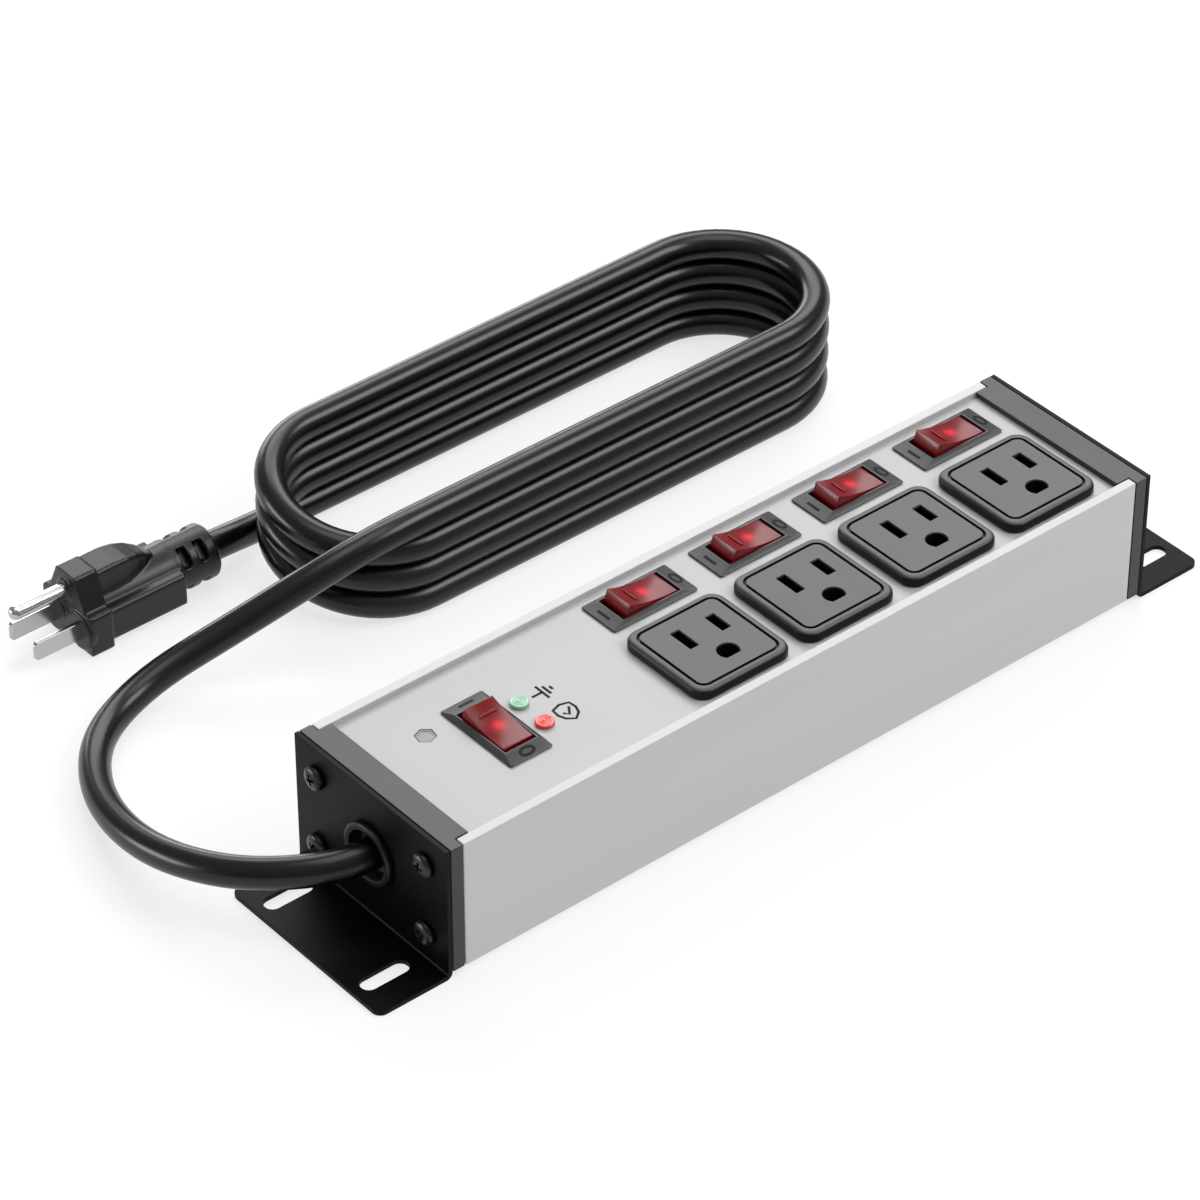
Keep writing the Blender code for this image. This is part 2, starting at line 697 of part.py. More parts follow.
def make_outlets():
    face = make_outlet_face()
    back = make_outlet_back()
    contact = make_hot_contact()
    for index in range(OUTLET_COUNT):
        place = (outlet_x(index), BLADE_LINE_Y, 0.0)
        copy_of(face, f"outlet_face_{index + 1}", place)
        copy_of(back, f"outlet_back_{index + 1}", place)
        copy_of(contact, f"hot_contact_{index + 1}", place)
    for master in (face, back, contact):
        bpy.data.objects.remove(master)
    make_bus("neutral_bus", BLADE_LINE_Y, 3.2, -BLADE_HALF_SPACING, 1.1)
    make_bus("ground_bus", BLADE_LINE_Y - GROUND_BELOW, 2.4, 0.0, 2.6)
    box("live_bus", (outlet_x(0) - LIVE_BUS_START, LIVE_BUS_Y[0], LIVE_BUS_Z[0]),
        (outlet_x(OUTLET_COUNT - 1) + LIVE_BUS_FINISH, LIVE_BUS_Y[1], LIVE_BUS_Z[1]), brass())


# ---------------------------------------------------------------- switches

def make_switch_case():
    """Moulded case with a sloped bezel and a well for the rocker."""
    finish = black_plastic()
    under = PANEL_TOP + GAP
    rings = [level(rounded_rect(hx, hy, radius, 2), z) for hx, hy, radius, z in (
        (CASE_HALF_X, CASE_HALF_Y, 0.6, CASE_BOTTOM),
        (CASE_HALF_X, CASE_HALF_Y, 0.6, under),
        (BEZEL_HALF_X, BEZEL_HALF_Y, 1.2, under),
        (BEZEL_HALF_X, BEZEL_HALF_Y, 1.2, under + 0.35),
        (WELL_HALF_X + 0.45, WELL_HALF_Y + 0.45, 0.6, BEZEL_RIM),
        (WELL_HALF_X, WELL_HALF_Y, 0.3, BEZEL_RIM),
        (WELL_HALF_X, WELL_HALF_Y, 0.3, WELL_FLOOR))]
    case = loft("switch_case_master", rings, finish)
    cut(case, cylinder("pivot", PIVOT_R + GAP, -PIVOT_BORE_HALF, PIVOT_BORE_HALF, "X", finish,
                       (0, 0, ROCKER_AXIS_Z), 12))
    return case


def rocker_outline():
    """Side view (y, z) about the pivot: a hollow top between two raised tips."""
    radius = (ROCKER_TIP_Y ** 2 + ROCKER_SAG ** 2) / (2 * ROCKER_SAG)
    spread = math.asin(ROCKER_TIP_Y / radius)
    top = []
    for step in range(ROCKER_TOP_STEPS + 1):
        angle = -spread + 2 * spread * step / ROCKER_TOP_STEPS
        y = radius * math.sin(angle)
        z = ROCKER_TIP_H - ROCKER_SAG + radius * (1 - math.cos(angle))
        top.append((y, z))
    foot_y, foot_z = ROCKER_FOOT
    side_y, side_z = ROCKER_SHOULDER
    return [(-foot_y, foot_z), (-side_y, side_z)] + top + [(side_y, side_z), (foot_y, foot_z)]


def make_rocker():
    finish = rocker_red()
    rings = [[(x, y, z) for y, z in rocker_outline()] for x in (-ROCKER_HALF_X, ROCKER_HALF_X)]
    rocker = loft("rocker_master", rings, finish)
    fuse(rocker, cylinder("pins", PIVOT_R, -PIVOT_HALF, PIVOT_HALF, "X", finish, (0, 0, 0), 12))
    return rocker


def make_switches():
    case = make_switch_case()
    rocker = make_rocker()
    places = [("main", MAIN_SWITCH, 0.0)]
    for index in range(OUTLET_COUNT):
        centre = (outlet_x(index) + OUTLET_SWITCH_DX, OUTLET_SWITCH_Y)
        places.append((f"outlet_{index + 1}", centre, math.radians(90)))
    for label, (x, y), heading in places:
        copy_of(case, f"{label}_switch_case", (x, y, 0.0), (0.0, 0.0, heading))
        copy_of(rocker, f"{label}_rocker", (x, y, ROCKER_AXIS_Z), (ROCKER_TILT, 0.0, heading))
    bpy.data.objects.remove(case)
    bpy.data.objects.remove(rocker)


# ---------------------------------------------------------------- lamps and inside

def make_lamps():
    under = PANEL_TOP + GAP
    profile = ((LAMP_STEM_R, LAMP_STEM_BOTTOM), (LAMP_STEM_R, under), (LAMP_R, under),
               (LAMP_R, LAMP_SHOULDER), (LAMP_R - 0.5, LAMP_TOP - 0.1), (1.2, LAMP_TOP))
    for name, y, colour in (("ground_lamp", LAMP_Y[0], (0.25, 0.72, 0.42)),
                            ("surge_lamp", LAMP_Y[1], (0.9, 0.1, 0.1))):
        turned(name, profile, "Z", material(name, colour, 0.0, 0.3), (LAMP_X, y, 0), 20)


def make_hex_plug():
    outline = hexagon_outline(HEX_R)
    loft("hex_plug", [level(outline, HEX_BOTTOM), level(outline, PANEL_TOP - HEX_SUNK)], nickel())


def make_surge_board():
    board = material("circuit_board", (0.05, 0.25, 0.12), 0.0, 0.5)
    disc = material("varistor_blue", (0.05, 0.15, 0.5), 0.0, 0.4)
    box("surge_board", (BOARD_X[0], -BOARD_HALF_Y, BOARD_Z[0]),
        (BOARD_X[1], BOARD_HALF_Y, BOARD_Z[1]), board)
    z = BOARD_Z[1] + GAP + VARISTOR_R
    for index in range(VARISTOR_COUNT):
        centre = (VARISTOR_FIRST[0] + index * VARISTOR_STEP[0],
                  VARISTOR_FIRST[1] + index * VARISTOR_STEP[1], z)
        cylinder(f"varistor_{index + 1}", VARISTOR_R, -VARISTOR_HALF, VARISTOR_HALF, "Y", disc, centre, 16)


def make_inner_leads():
    """Wires from the cord's inner end to the main switch and the bus strips."""
    start = LEAD_START[0] + GAP
    bus_end = outlet_x(0) - BUS_START - GAP
    bus_z = BUS_BOTTOM + BUS_THICK / 2
    case_low = CASE_BOTTOM - GAP
    mx, my = MAIN_SWITCH
    leads = (
        ("live_lead", ((start, 2.4, 25.6), (-112.0, 2.4, 25.6), (-102.0, 2.0, 23.0),
                       (-94.0, 1.2, 20.6), (mx, my, 22.0), (mx, my, case_low))),
        ("neutral_lead", ((start, -2.4, 25.6), (-112.0, -2.4, 25.6), (-98.0, -9.0, 19.6),
                          (-76.0, -9.0, 19.6), (-50.0, BLADE_LINE_Y, bus_z),
                          (bus_end, BLADE_LINE_Y, bus_z))),
        ("ground_lead", ((start, 0.0, 21.4), (-112.0, 0.0, 21.4), (-98.0, -14.0, 19.0),
                         (-76.0, -17.7, 19.6), (-50.0, BLADE_LINE_Y - GROUND_BELOW, bus_z),
                         (bus_end, BLADE_LINE_Y - GROUND_BELOW, bus_z))),
        ("switched_lead", ((mx, my + 9.0, case_low), (mx, my + 9.0, 22.0), (-80.0, 16.0, 21.0),
                           (-60.0, 20.0, 24.0), (-44.0, 20.0, 26.8),
                           (outlet_x(0) - LIVE_BUS_START - GAP, 20.0, 26.8))))
    colours = {"live_lead": (0.02, 0.02, 0.02), "neutral_lead": (0.8, 0.8, 0.8),
               "ground_lead": (0.05, 0.4, 0.1), "switched_lead": (0.5, 0.02, 0.02)}
    for name, route in leads:
        finish = material(name, colours[name], 0.0, 0.5)
        tube(name, route[1:], 1.2, finish, 7.0, 1, lead_in=route[:1])


# ---------------------------------------------------------------- the cord

def hank_ring(half_extra, z):
    """A stadium outline at an offset from the hank's centre line."""
    radius = (HANK_FAR_Y - HANK_NEAR_Y) / 2 + half_extra
    middle = (HANK_FAR_Y + HANK_NEAR_Y) / 2
    points = []
    for centre, start in ((HANK_RIGHT_X, -90), (HANK_LEFT_X, 90)):
        for step in range(HANK_END_STEPS + 1):
            angle = math.radians(start + 180 * step / HANK_END_STEPS)
            points.append((centre + radius * math.cos(angle), middle + radius * math.sin(angle), z))
    return points


def make_cord():
    finish = cord_black()
    low = 0.05
    high = low + (TURNS - 1) * TURN_PITCH + 2 * CORD_R
    rings = [hank_ring(half_extra, z) for half_extra, z in (
        (CORD_R, low), (CORD_R, high), (-CORD_R, high), (-CORD_R, low))]
    loft("cord_hank", rings, finish, closed=True)
    middle = (HANK_LEFT_X, (HANK_FAR_Y + HANK_NEAR_Y) / 2, 0.0)
    clearance = (HANK_FAR_Y - HANK_NEAR_Y) / 2 + CORD_R + GAP
    # Each free stretch of the cord runs into the hank's near or far side and is trimmed there.
    lead = [point for point in LEAD_ROUTE if point[0] < HANK_TRIM_X] + [LEAD_JOIN]
    tail = [TAIL_JOIN] + [point for point in TAIL_ROUTE if point[0] < HANK_TRIM_X]
    for name, route, lead_in, lead_out in (("cord_lead", lead, (LEAD_START,), ()),
                                           ("cord_tail", tail, (), (TAIL_END,))):
        piece = tube(name, route, CORD_R, finish, TUBE_STEP, lead_in=lead_in, lead_out=lead_out)
        bpy.context.view_layer.update()
        graph = bpy.context.evaluated_depsgraph_get()
        mesh = bpy.data.meshes.new_from_object(piece.evaluated_get(graph))
        bpy.data.objects.remove(piece)
        solid = bpy.data.objects.new(name, mesh)
        bpy.context.scene.collection.objects.link(solid)
        cut(solid, cylinder("hank_side", clearance, -5, 60, "Z", finish, middle, 48))


def plug_section(x, half_bottom, low, shoulder, half_top, top):
    """A section across the plug: upright sides to the shoulder, then sloping to the top."""
    corners = [(-half_bottom, low), (half_bottom, low), (half_bottom, shoulder), (half_top, top),
               (-half_top, top), (-half_bottom, shoulder)]
    points = []
    for i, (y, z) in enumerate(corners):
        for other in (corners[i - 1], corners[(i + 1) % 6]):
            span = math.dist((y, z), other)
            share = min(0.35, 1.2 / span)
            points.append((x, PLUG_Y + y + (other[0] - y) * share,
                           PLUG_BLADE_Z + z + (other[1] - z) * share))
    return points


def plug_circle(x, radius):
    """Twelve points round the cord, starting where plug_section starts."""
    points = []
    for i in range(12):
        angle = math.radians(-150 + 30 * i)
        points.append((x, PLUG_Y + radius * math.cos(angle), PLUG_CORD_Z + radius * math.sin(angle)))
    return points


def make_plug():
    finish = cord_black()
    sections = [
        plug_section(PLUG_FRONT, 12.6, -7.3, 7.0, 5.0, 17.6),
        plug_section(PLUG_FLANGE_BACK, 12.6, -7.3, 7.0, 5.0, 17.6),
        plug_section(PLUG_FLANGE_BACK + 0.2, 11.4, -6.2, 6.0, 5.4, 16.6),
        plug_section(-105.0, 11.4, -6.2, 6.0, 5.2, 17.4),
        plug_section(-98.0, 11.2, -6.2, 6.0, 5.0, 12.0),
        plug_section(PLUG_BODY_BACK, 10.8, -6.2, 5.6, 5.0, 10.4),
        plug_circle(PLUG_BODY_BACK + 0.6, PLUG_RELIEF_R),
        plug_circle(PLUG_END, PLUG_RELIEF_R)]
    body = loft("plug_body", sections, finish)
    pocket_end = PLUG_FRONT + BLADE_POCKET
    thick = BLADE_HALF_THICK + GAP
    wide = BLADE_HALF_WIDE + GAP
    for y in (PLUG_Y - BLADE_HALF_SPACING, PLUG_Y + BLADE_HALF_SPACING):
        cut(body, box("pocket", (PLUG_FRONT - 1, y - thick, PLUG_BLADE_Z - wide),
                      (pocket_end, y + thick, PLUG_BLADE_Z + wide), finish))
    pin_z = PLUG_BLADE_Z + GROUND_BELOW
    cut(body, cylinder("pocket", PIN_R + GAP, PLUG_FRONT - 1, pocket_end, "X", finish,
                       (0, PLUG_Y, pin_z), 20))
    cut(body, cylinder("bore", CORD_R + GAP, PLUG_BORE_START, PLUG_END + 1, "X", finish,
                       (0, PLUG_Y, PLUG_CORD_Z), 20))
    root = pocket_end - GAP
    metal = nickel()
    for name, y in (("plug_neutral_blade", -BLADE_HALF_SPACING), ("plug_live_blade", BLADE_HALF_SPACING)):
        rings = []
        for x, half_z, half_y in ((BLADE_TIP, BLADE_HALF_WIDE - 0.8, BLADE_HALF_THICK - 0.3),
                                  (BLADE_TIP + 0.8, BLADE_HALF_WIDE, BLADE_HALF_THICK),
                                  (root, BLADE_HALF_WIDE, BLADE_HALF_THICK)):
            rings.append([(x, PLUG_Y + y + sy * half_y, PLUG_BLADE_Z + sz * half_z)
                          for sy, sz in ((-1, -1), (1, -1), (1, 1), (-1, 1))])
        loft(name, rings, metal)
    pin = ((1.0, PIN_TIP), (1.9, PIN_TIP + 0.7), (PIN_R, PIN_TIP + 2.0), (PIN_R, root))
    turned("plug_ground_pin", pin, "X", metal, (0, PLUG_Y, pin_z), 16)


def build():
    for existing in list(bpy.data.objects):
        bpy.data.objects.remove(existing)
    make_channel()
    make_panel()
    make_end_cap("cord_end_cap", -1)
    make_end_cap("far_end_cap", 1)
    make_bracket("cord_end_bracket", -1)
    make_bracket("far_end_bracket", 1)
    make_screws()
    make_gland()
    make_cord_clamp()
    make_outlets()
    make_switches()
    make_lamps()
    make_hex_plug()
    make_surge_board()
    make_inner_leads()
    make_cord()
    make_plug()


build()
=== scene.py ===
"""Finished looks of the metal power strip: cord, plug, outlets, switches, trim and materials."""
import math

import bmesh
import bpy
import numpy as np
from mathutils import Matrix, Vector


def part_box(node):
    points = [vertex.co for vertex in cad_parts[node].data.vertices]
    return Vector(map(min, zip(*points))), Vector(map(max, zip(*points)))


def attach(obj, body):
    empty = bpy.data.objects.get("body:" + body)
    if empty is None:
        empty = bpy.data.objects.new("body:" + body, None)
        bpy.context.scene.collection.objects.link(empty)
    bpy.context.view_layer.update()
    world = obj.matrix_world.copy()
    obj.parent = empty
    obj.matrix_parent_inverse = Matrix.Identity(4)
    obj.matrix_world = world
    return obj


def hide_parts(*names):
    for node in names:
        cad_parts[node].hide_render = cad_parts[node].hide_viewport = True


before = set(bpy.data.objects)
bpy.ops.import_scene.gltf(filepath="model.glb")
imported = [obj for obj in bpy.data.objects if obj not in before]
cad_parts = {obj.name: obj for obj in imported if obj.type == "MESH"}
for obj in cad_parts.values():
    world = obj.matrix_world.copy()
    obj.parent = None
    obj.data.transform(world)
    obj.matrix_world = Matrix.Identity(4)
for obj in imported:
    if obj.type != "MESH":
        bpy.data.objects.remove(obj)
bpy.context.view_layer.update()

MM = 0.001
BODY = "strip"

# ---------------------------------------------------------------- sizes shared with the CAD model, mm

CORD_R = 4.9
TURN_PITCH = 9.9
BOTTOM_TURN_Z = 4.95
LEVELS = [BOTTOM_TURN_Z + TURN_PITCH * turn for turn in (3, 2, 1, 0)]     # top turn first
HANK_NEAR_Y = 102.5
HANK_FAR_Y = 163.0
HANK_LEFT_X = -32.1
HANK_RIGHT_X = 109.6
LEAD_START = ((-119.5, 0.0, 24.3), (-128.5, 0.0, 24.3))
LEAD_ROUTE = (
    (-137.5, 0.0, 24.3), (-147.0, 2.6, 23.9), (-156.6, 10.0, 22.2), (-166.0, 22.4, 19.4),
    (-171.9, 37.4, 16.2), (-173.9, 53.5, 12.6), (-172.6, 69.0, 9.6), (-168.6, 84.0, 7.3),
    (-161.8, 97.6, 5.8), (-151.6, 109.4, 5.05), (-138.0, 117.0, 5.4), (-122.6, 119.2, 8.5),
    (-107.2, 116.4, 13.8), (-92.0, 111.8, 20.4), (-77.6, 107.2, 27.0), (-63.0, 103.8, 32.2),
    (-48.0, 102.5, 34.5), (-32.1, 102.5, 34.65))
TAIL_ROUTE = (
    (-32.1, 163.0, 4.95), (-42.0, 163.0, 4.95), (-51.0, 162.6, 5.4), (-60.0, 161.5, 6.7),
    (-67.5, 160.0, 8.4), (-75.0, 159.5, 9.05))
TAIL_END = (-79.6, 159.5, 9.05)

OUTLET_COUNT = 4
BLADE_LINE_Y = -5.8
BLADE_HALF_SPACING = 6.35
GROUND_BELOW = 11.9
FACE_SHIFT = (-1.7, -4.85)
FACE_HALF = 17.9
FACE_TOP = 47.95
FACE_UNDER = 44.7
FACE_CORNER = 5.0
NECK_HALF = 15.0
NECK_BOTTOM = 40.0
ROCKER_TILT = math.radians(10)
ROCKER_AXIS_Z = 43.0
BEZEL_RIM = 46.0
PANEL_TOP = 44.4
RAIL_INNER = 31.0
SHEET_OUTER = 135.5
CORD_Z = 24.3

# ---------------------------------------------------------------- camera and studio

CAMERA_PLACE = (-0.799555, -0.890756, 0.976468)
CAMERA_YAW = 49.984
CAMERA_PITCH = 37.864
CAMERA_LENS = 156.26
FLOOR_HALF = 12.0             # metres
FLOOR_DROP = 0.0002           # metres below the object's feet


def make_camera():
    data = bpy.data.cameras.new("camera")
    data.lens = CAMERA_LENS
    data.sensor_width = 36.0
    data.clip_start = 0.05
    data.clip_end = 60.0
    camera = bpy.data.objects.new("camera", data)
    camera.location = CAMERA_PLACE
    camera.rotation_euler = (math.radians(90 - CAMERA_PITCH), 0.0, math.radians(CAMERA_YAW - 90))
    bpy.context.scene.collection.objects.link(camera)
    bpy.context.scene.camera = camera


def softbox(name, yaw, elevation, distance, width, height, radiance):
    """A rectangular light in a direction from the strip, aimed back at it."""
    data = bpy.data.lights.new(name, "AREA")
    data.shape = "RECTANGLE"
    data.size = width
    data.size_y = height
    data.energy = radiance * math.pi * width * height
    lamp = bpy.data.objects.new(name, data)
    turn = math.radians(yaw)
    rise = math.radians(elevation)
    away = Vector((math.cos(rise) * math.cos(turn), math.cos(rise) * math.sin(turn), math.sin(rise)))
    lamp.location = away * distance
    lamp.rotation_euler = away.to_track_quat("Z", "Y").to_euler()
    bpy.context.scene.collection.objects.link(lamp)


def make_lights():
    """Yaw and elevation in degrees, then distance, width and height in metres, then radiance."""
    softbox("back_softbox", 50, 41, 2.2, 2.0, 0.9, 4.8)
    softbox("right_softbox", -43, 46, 2.2, 1.3, 0.8, 8.0)
    softbox("low_back_softbox", 72, 7, 2.2, 1.3, 0.5, 5.5)
    softbox("left_softbox", 142, 6, 2.2, 1.2, 0.4, 11.0)
    softbox("top_softbox", 0, 88, 2.2, 1.4, 1.4, 2.5)


def make_sky():
    """A soft grey surround, brighter overhead."""
    world = bpy.data.worlds.new("studio")
    world.use_nodes = True
    tree = world.node_tree
    place = tree.nodes.new("ShaderNodeTexCoord")
    split = tree.nodes.new("ShaderNodeSeparateXYZ")
    tree.links.new(place.outputs["Generated"], split.inputs["Vector"])
    greys = ((0.0, 0.2), (0.35, 0.3), (0.8, 0.5), (1.0, 0.6))
    sky = ramp(tree, split.outputs["Z"], [(height, (grey, grey, grey)) for height, grey in greys])
    tree.links.new(sky, tree.nodes["Background"].inputs["Color"])
    bpy.context.scene.world = world


def make_floor():
    mesh = bpy.data.meshes.new("floor")
    corners = [(x * FLOOR_HALF, y * FLOOR_HALF, 0.0) for x, y in ((-1, -1), (1, -1), (1, 1), (-1, 1))]
    mesh.from_pydata(corners, [], [(0, 1, 2, 3)])
    floor = bpy.data.objects.new("floor", mesh)
    floor.location.z = -FLOOR_DROP
    mesh.materials.append(floor_paper())
    bpy.context.scene.collection.objects.link(floor)


def make_studio():
    make_lights()
    make_sky()
    make_floor()
    bpy.context.scene.view_settings.view_transform = "Standard"


# ---------------------------------------------------------------- materials

FINISHES = {}                 # finishes made so far, by name
GLOSS_SPREAD = 0.04           # how unevenly a surface shines
GLOW_REACH = 5.0              # how far a rocker's lamp shows through, mm


def noise(tree, scale, detail=3.0, stretch=(1.0, 1.0, 1.0)):
    """Object-space noise; stretch below one lengthens the pattern along that axis."""
    nodes, links = tree.nodes, tree.links
    place = nodes.new("ShaderNodeTexCoord")
    squeeze = nodes.new("ShaderNodeMapping")
    squeeze.inputs["Scale"].default_value = stretch
    links.new(place.outputs["Object"], squeeze.inputs["Vector"])
    texture = nodes.new("ShaderNodeTexNoise")
    texture.inputs["Scale"].default_value = scale
    texture.inputs["Detail"].default_value = detail
    links.new(squeeze.outputs["Vector"], texture.inputs["Vector"])
    return texture.outputs["Fac"]


def ramp(tree, factor, stops):
    """Colour ramp through (position, colour) stops."""
    node = tree.nodes.new("ShaderNodeValToRGB")
    elements = node.color_ramp.elements
    while len(elements) < len(stops):
        elements.new(0.5)
    for element, (position, colour) in zip(elements, stops):
        element.position = position
        element.color = (*colour, 1.0)
    tree.links.new(factor, node.inputs["Fac"])
    return node.outputs["Color"]


def spread(tree, factor, low, high):
    """A factor from 0 to 1, stretched to run from low to high."""
    node = tree.nodes.new("ShaderNodeMapRange")
    node.inputs["To Min"].default_value = low
    node.inputs["To Max"].default_value = high
    tree.links.new(factor, node.inputs["Value"])
    return node.outputs["Result"]


def bump(tree, shader, height, distance):
    node = tree.nodes.new("ShaderNodeBump")
    node.inputs["Distance"].default_value = distance
    node.inputs["Strength"].default_value = 1.0
    tree.links.new(height, node.inputs["Height"])
    tree.links.new(node.outputs["Normal"], shader.inputs["Normal"])


def surface(name, colour, roughness, metallic=0.0, specular=0.5, coat=0.0, mottle=0.05,
            mottle_scale=60.0, grain_scale=2500.0, grain=0.00001, stretch=(1.0, 1.0, 1.0)):
    """Principled material with a faint mottle, uneven gloss and a fine grain.

    When colour is None, the caller links one."""
    if name in FINISHES:
        return FINISHES[name]
    made = bpy.data.materials.new(name)
    FINISHES[name] = made
    made.use_nodes = True
    tree = made.node_tree
    shader = tree.nodes["Principled BSDF"]
    shader.inputs["Metallic"].default_value = metallic
    shader.inputs["Specular IOR Level"].default_value = specular
    shader.inputs["Coat Weight"].default_value = coat
    patches = noise(tree, mottle_scale, 4.0, stretch)
    if colour:
        dark = tuple(channel * (1 - mottle) for channel in colour)
        light = tuple(min(1.0, channel * (1 + mottle)) for channel in colour)
        tree.links.new(ramp(tree, patches, ((0.35, dark), (0.65, light))), shader.inputs["Base Color"])
    tree.links.new(spread(tree, patches, roughness - GLOSS_SPREAD, roughness + GLOSS_SPREAD),
                   shader.inputs["Roughness"])
    bump(tree, shader, noise(tree, grain_scale, 2.0, stretch), grain)
    return made


def floor_paper():
    """Pale, softly self-lit sweep, so that shadows stay light."""
    made = bpy.data.materials.new("studio_floor")
    made.use_nodes = True
    shader = made.node_tree.nodes["Principled BSDF"]
    shader.inputs["Base Color"].default_value = (0.24, 0.24, 0.24, 1.0)
    shader.inputs["Roughness"].default_value = 1.0
    shader.inputs["Specular IOR Level"].default_value = 0.0
    shader.inputs["Emission Color"].default_value = (1.0, 1.0, 1.0, 1.0)
    shader.inputs["Emission Strength"].default_value = 0.71
    return made


def aluminium():
    return surface("anodised_silver", (0.52, 0.52, 0.523), 0.55, metallic=0.1, specular=0.2, mottle=0.015,
                   grain_scale=4000, grain=0.000004, stretch=(0.02, 1.0, 1.0))


def panel_finish():
    return surface("panel_silver_paint", (0.38, 0.38, 0.381), 0.5, metallic=0.1, mottle=0.012,
                   grain_scale=5000, grain=0.000004)


def cap_plastic():
    return surface("cap_moulding", (0.014, 0.014, 0.0142), 0.38, specular=0.45, mottle=0.06,
                   grain_scale=3500, grain=0.00001)


def bracket_coat():
    return surface("bracket_powder_coat", (0.0015, 0.0015, 0.0016), 0.42, specular=0.09, mottle=0.12,
                   grain_scale=2200, grain=0.000014)


def screw_steel():
    return surface("screw_black_oxide", (0.006, 0.006, 0.0062), 0.3, specular=0.4, mottle=0.2,
                   grain_scale=3000, grain=0.000006)


def outlet_plastic_painted_top_sheen():
    """Moulded black cover with a painted reflection: its base colour is painted grey on the up-facing top
    face and nearly black down its sides.
    """
    made = surface("outlet_moulding_painted_top_sheen", None, 0.38, specular=0.25, grain_scale=4500, grain=0.000008)
    tree = made.node_tree
    facing = tree.nodes.new("ShaderNodeNewGeometry")
    split = tree.nodes.new("ShaderNodeSeparateXYZ")
    tree.links.new(facing.outputs["Normal"], split.inputs["Vector"])
    # painted reflection: up-facing faces get a grey base colour and the sides stay nearly black
    colour = ramp(tree, split.outputs["Z"], ((0.6, (0.004, 0.004, 0.004)), (0.97, (0.085, 0.085, 0.0855))))
    tree.links.new(colour, tree.nodes["Principled BSDF"].inputs["Base Color"])
    return made


def bezel_plastic():
    return surface("bezel_moulding", (0.026, 0.026, 0.0263), 0.34, specular=0.4, mottle=0.06,
                   grain_scale=4500, grain=0.000006)


def dark_void():
    return surface("contact_block_plastic", (0.008, 0.008, 0.008), 0.6, specular=0.2)


def gland_rubber():
    return surface("gland_rubber", (0.004, 0.004, 0.0041), 0.35, specular=0.3, mottle=0.05)


def cord_vinyl():
    return surface("cord_vinyl", (0.002, 0.002, 0.0021), 0.27, specular=0.36, mottle=0.15,
                   mottle_scale=35, grain_scale=1500, grain=0.000003)


def plug_vinyl():
    return surface("plug_vinyl", (0.004, 0.004, 0.0041), 0.33, specular=0.35, mottle=0.1,
                   grain_scale=2600, grain=0.000006)


def nickel():
    return surface("nickel_plate", (0.47, 0.47, 0.475), 0.2, metallic=1.0, mottle=0.02,
                   grain_scale=6000, grain=0.000002, stretch=(0.05, 1.0, 1.0))


def brass():
    return surface("sprung_brass", (0.7, 0.48, 0.18), 0.3, metallic=1.0)


def legend_ink():
    return surface("legend_ink", (0.008, 0.008, 0.008), 0.6, specular=0.15)


def hex_steel():
    return surface("hex_steel", (0.24, 0.24, 0.24), 0.5, metallic=0.2)


def rocker_plastic(name, lamp):
    """Red plastic that glows over the lamp inside it, which sits at a point in mm."""
    made = bpy.data.materials.new(name)
    made.use_nodes = True
    tree = made.node_tree
    nodes, links = tree.nodes, tree.links
    shader = nodes["Principled BSDF"]
    shader.inputs["Roughness"].default_value = 0.2
    shader.inputs["Specular IOR Level"].default_value = 0.3
    place = nodes.new("ShaderNodeTexCoord")
    to_lamp = nodes.new("ShaderNodeMapping")
    to_lamp.inputs["Location"].default_value = [-value * MM for value in lamp]
    links.new(place.outputs["Object"], to_lamp.inputs["Vector"])
    distance = nodes.new("ShaderNodeVectorMath")
    distance.operation = "LENGTH"
    links.new(to_lamp.outputs["Vector"], distance.inputs[0])
    glow = nodes.new("ShaderNodeMapRange")
    glow.interpolation_type = "SMOOTHSTEP"
    glow.inputs["From Min"].default_value = GLOW_REACH * MM
    glow.inputs["From Max"].default_value = 0.0
    links.new(distance.outputs["Value"], glow.inputs["Value"])
    tint = ((0.0, (0.13, 0.003, 0.005)), (0.6, (0.2, 0.006, 0.01)), (1.0, (0.36, 0.014, 0.02)))
    light = ((0.0, (0.025, 0.0, 0.0)), (0.5, (0.08, 0.002, 0.003)), (1.0, (0.6, 0.01, 0.02)))
    links.new(ramp(tree, glow.outputs["Result"], tint), shader.inputs["Base Color"])
    links.new(ramp(tree, glow.outputs["Result"], light), shader.inputs["Emission Color"])
    shader.inputs["Emission Strength"].default_value = 0.55
    bump(tree, shader, noise(tree, 1200, 2.0), 0.000006)
    return made


def lens_plastic(name, deep, pale, glow):
    """Moulded lamp lens: pale on top and deeper coloured down its side."""
    made = surface(name, None, 0.25, specular=0.6, coat=0.3, mottle_scale=300)
    tree = made.node_tree
    shader = tree.nodes["Principled BSDF"]
    place = tree.nodes.new("ShaderNodeTexCoord")
    split = tree.nodes.new("ShaderNodeSeparateXYZ")
    tree.links.new(place.outputs["Generated"], split.inputs["Vector"])
    tree.links.new(ramp(tree, split.outputs["Z"], ((0.55, deep), (1.0, pale))), shader.inputs["Base Color"])
    shader.inputs["Emission Color"].default_value = (*glow, 1.0)
    shader.inputs["Emission Strength"].default_value = 0.12
    return made


# ---------------------------------------------------------------- mesh helpers

def finish_piece(name, shape, material, sharp=35.0):
    """A bmesh in millimetres becomes a shaded object in metres."""
    bmesh.ops.recalc_face_normals(shape, faces=shape.faces)
    for vertex in shape.verts:
        vertex.co *= MM
    mesh = bpy.data.meshes.new(name)
    shape.to_mesh(mesh)
    shape.free()
    mesh.shade_smooth()
    mesh.set_sharp_from_angle(angle=math.radians(sharp))
    mesh.materials.append(material)
    made = bpy.data.objects.new(name, mesh)
    bpy.context.scene.collection.objects.link(made)
    return made


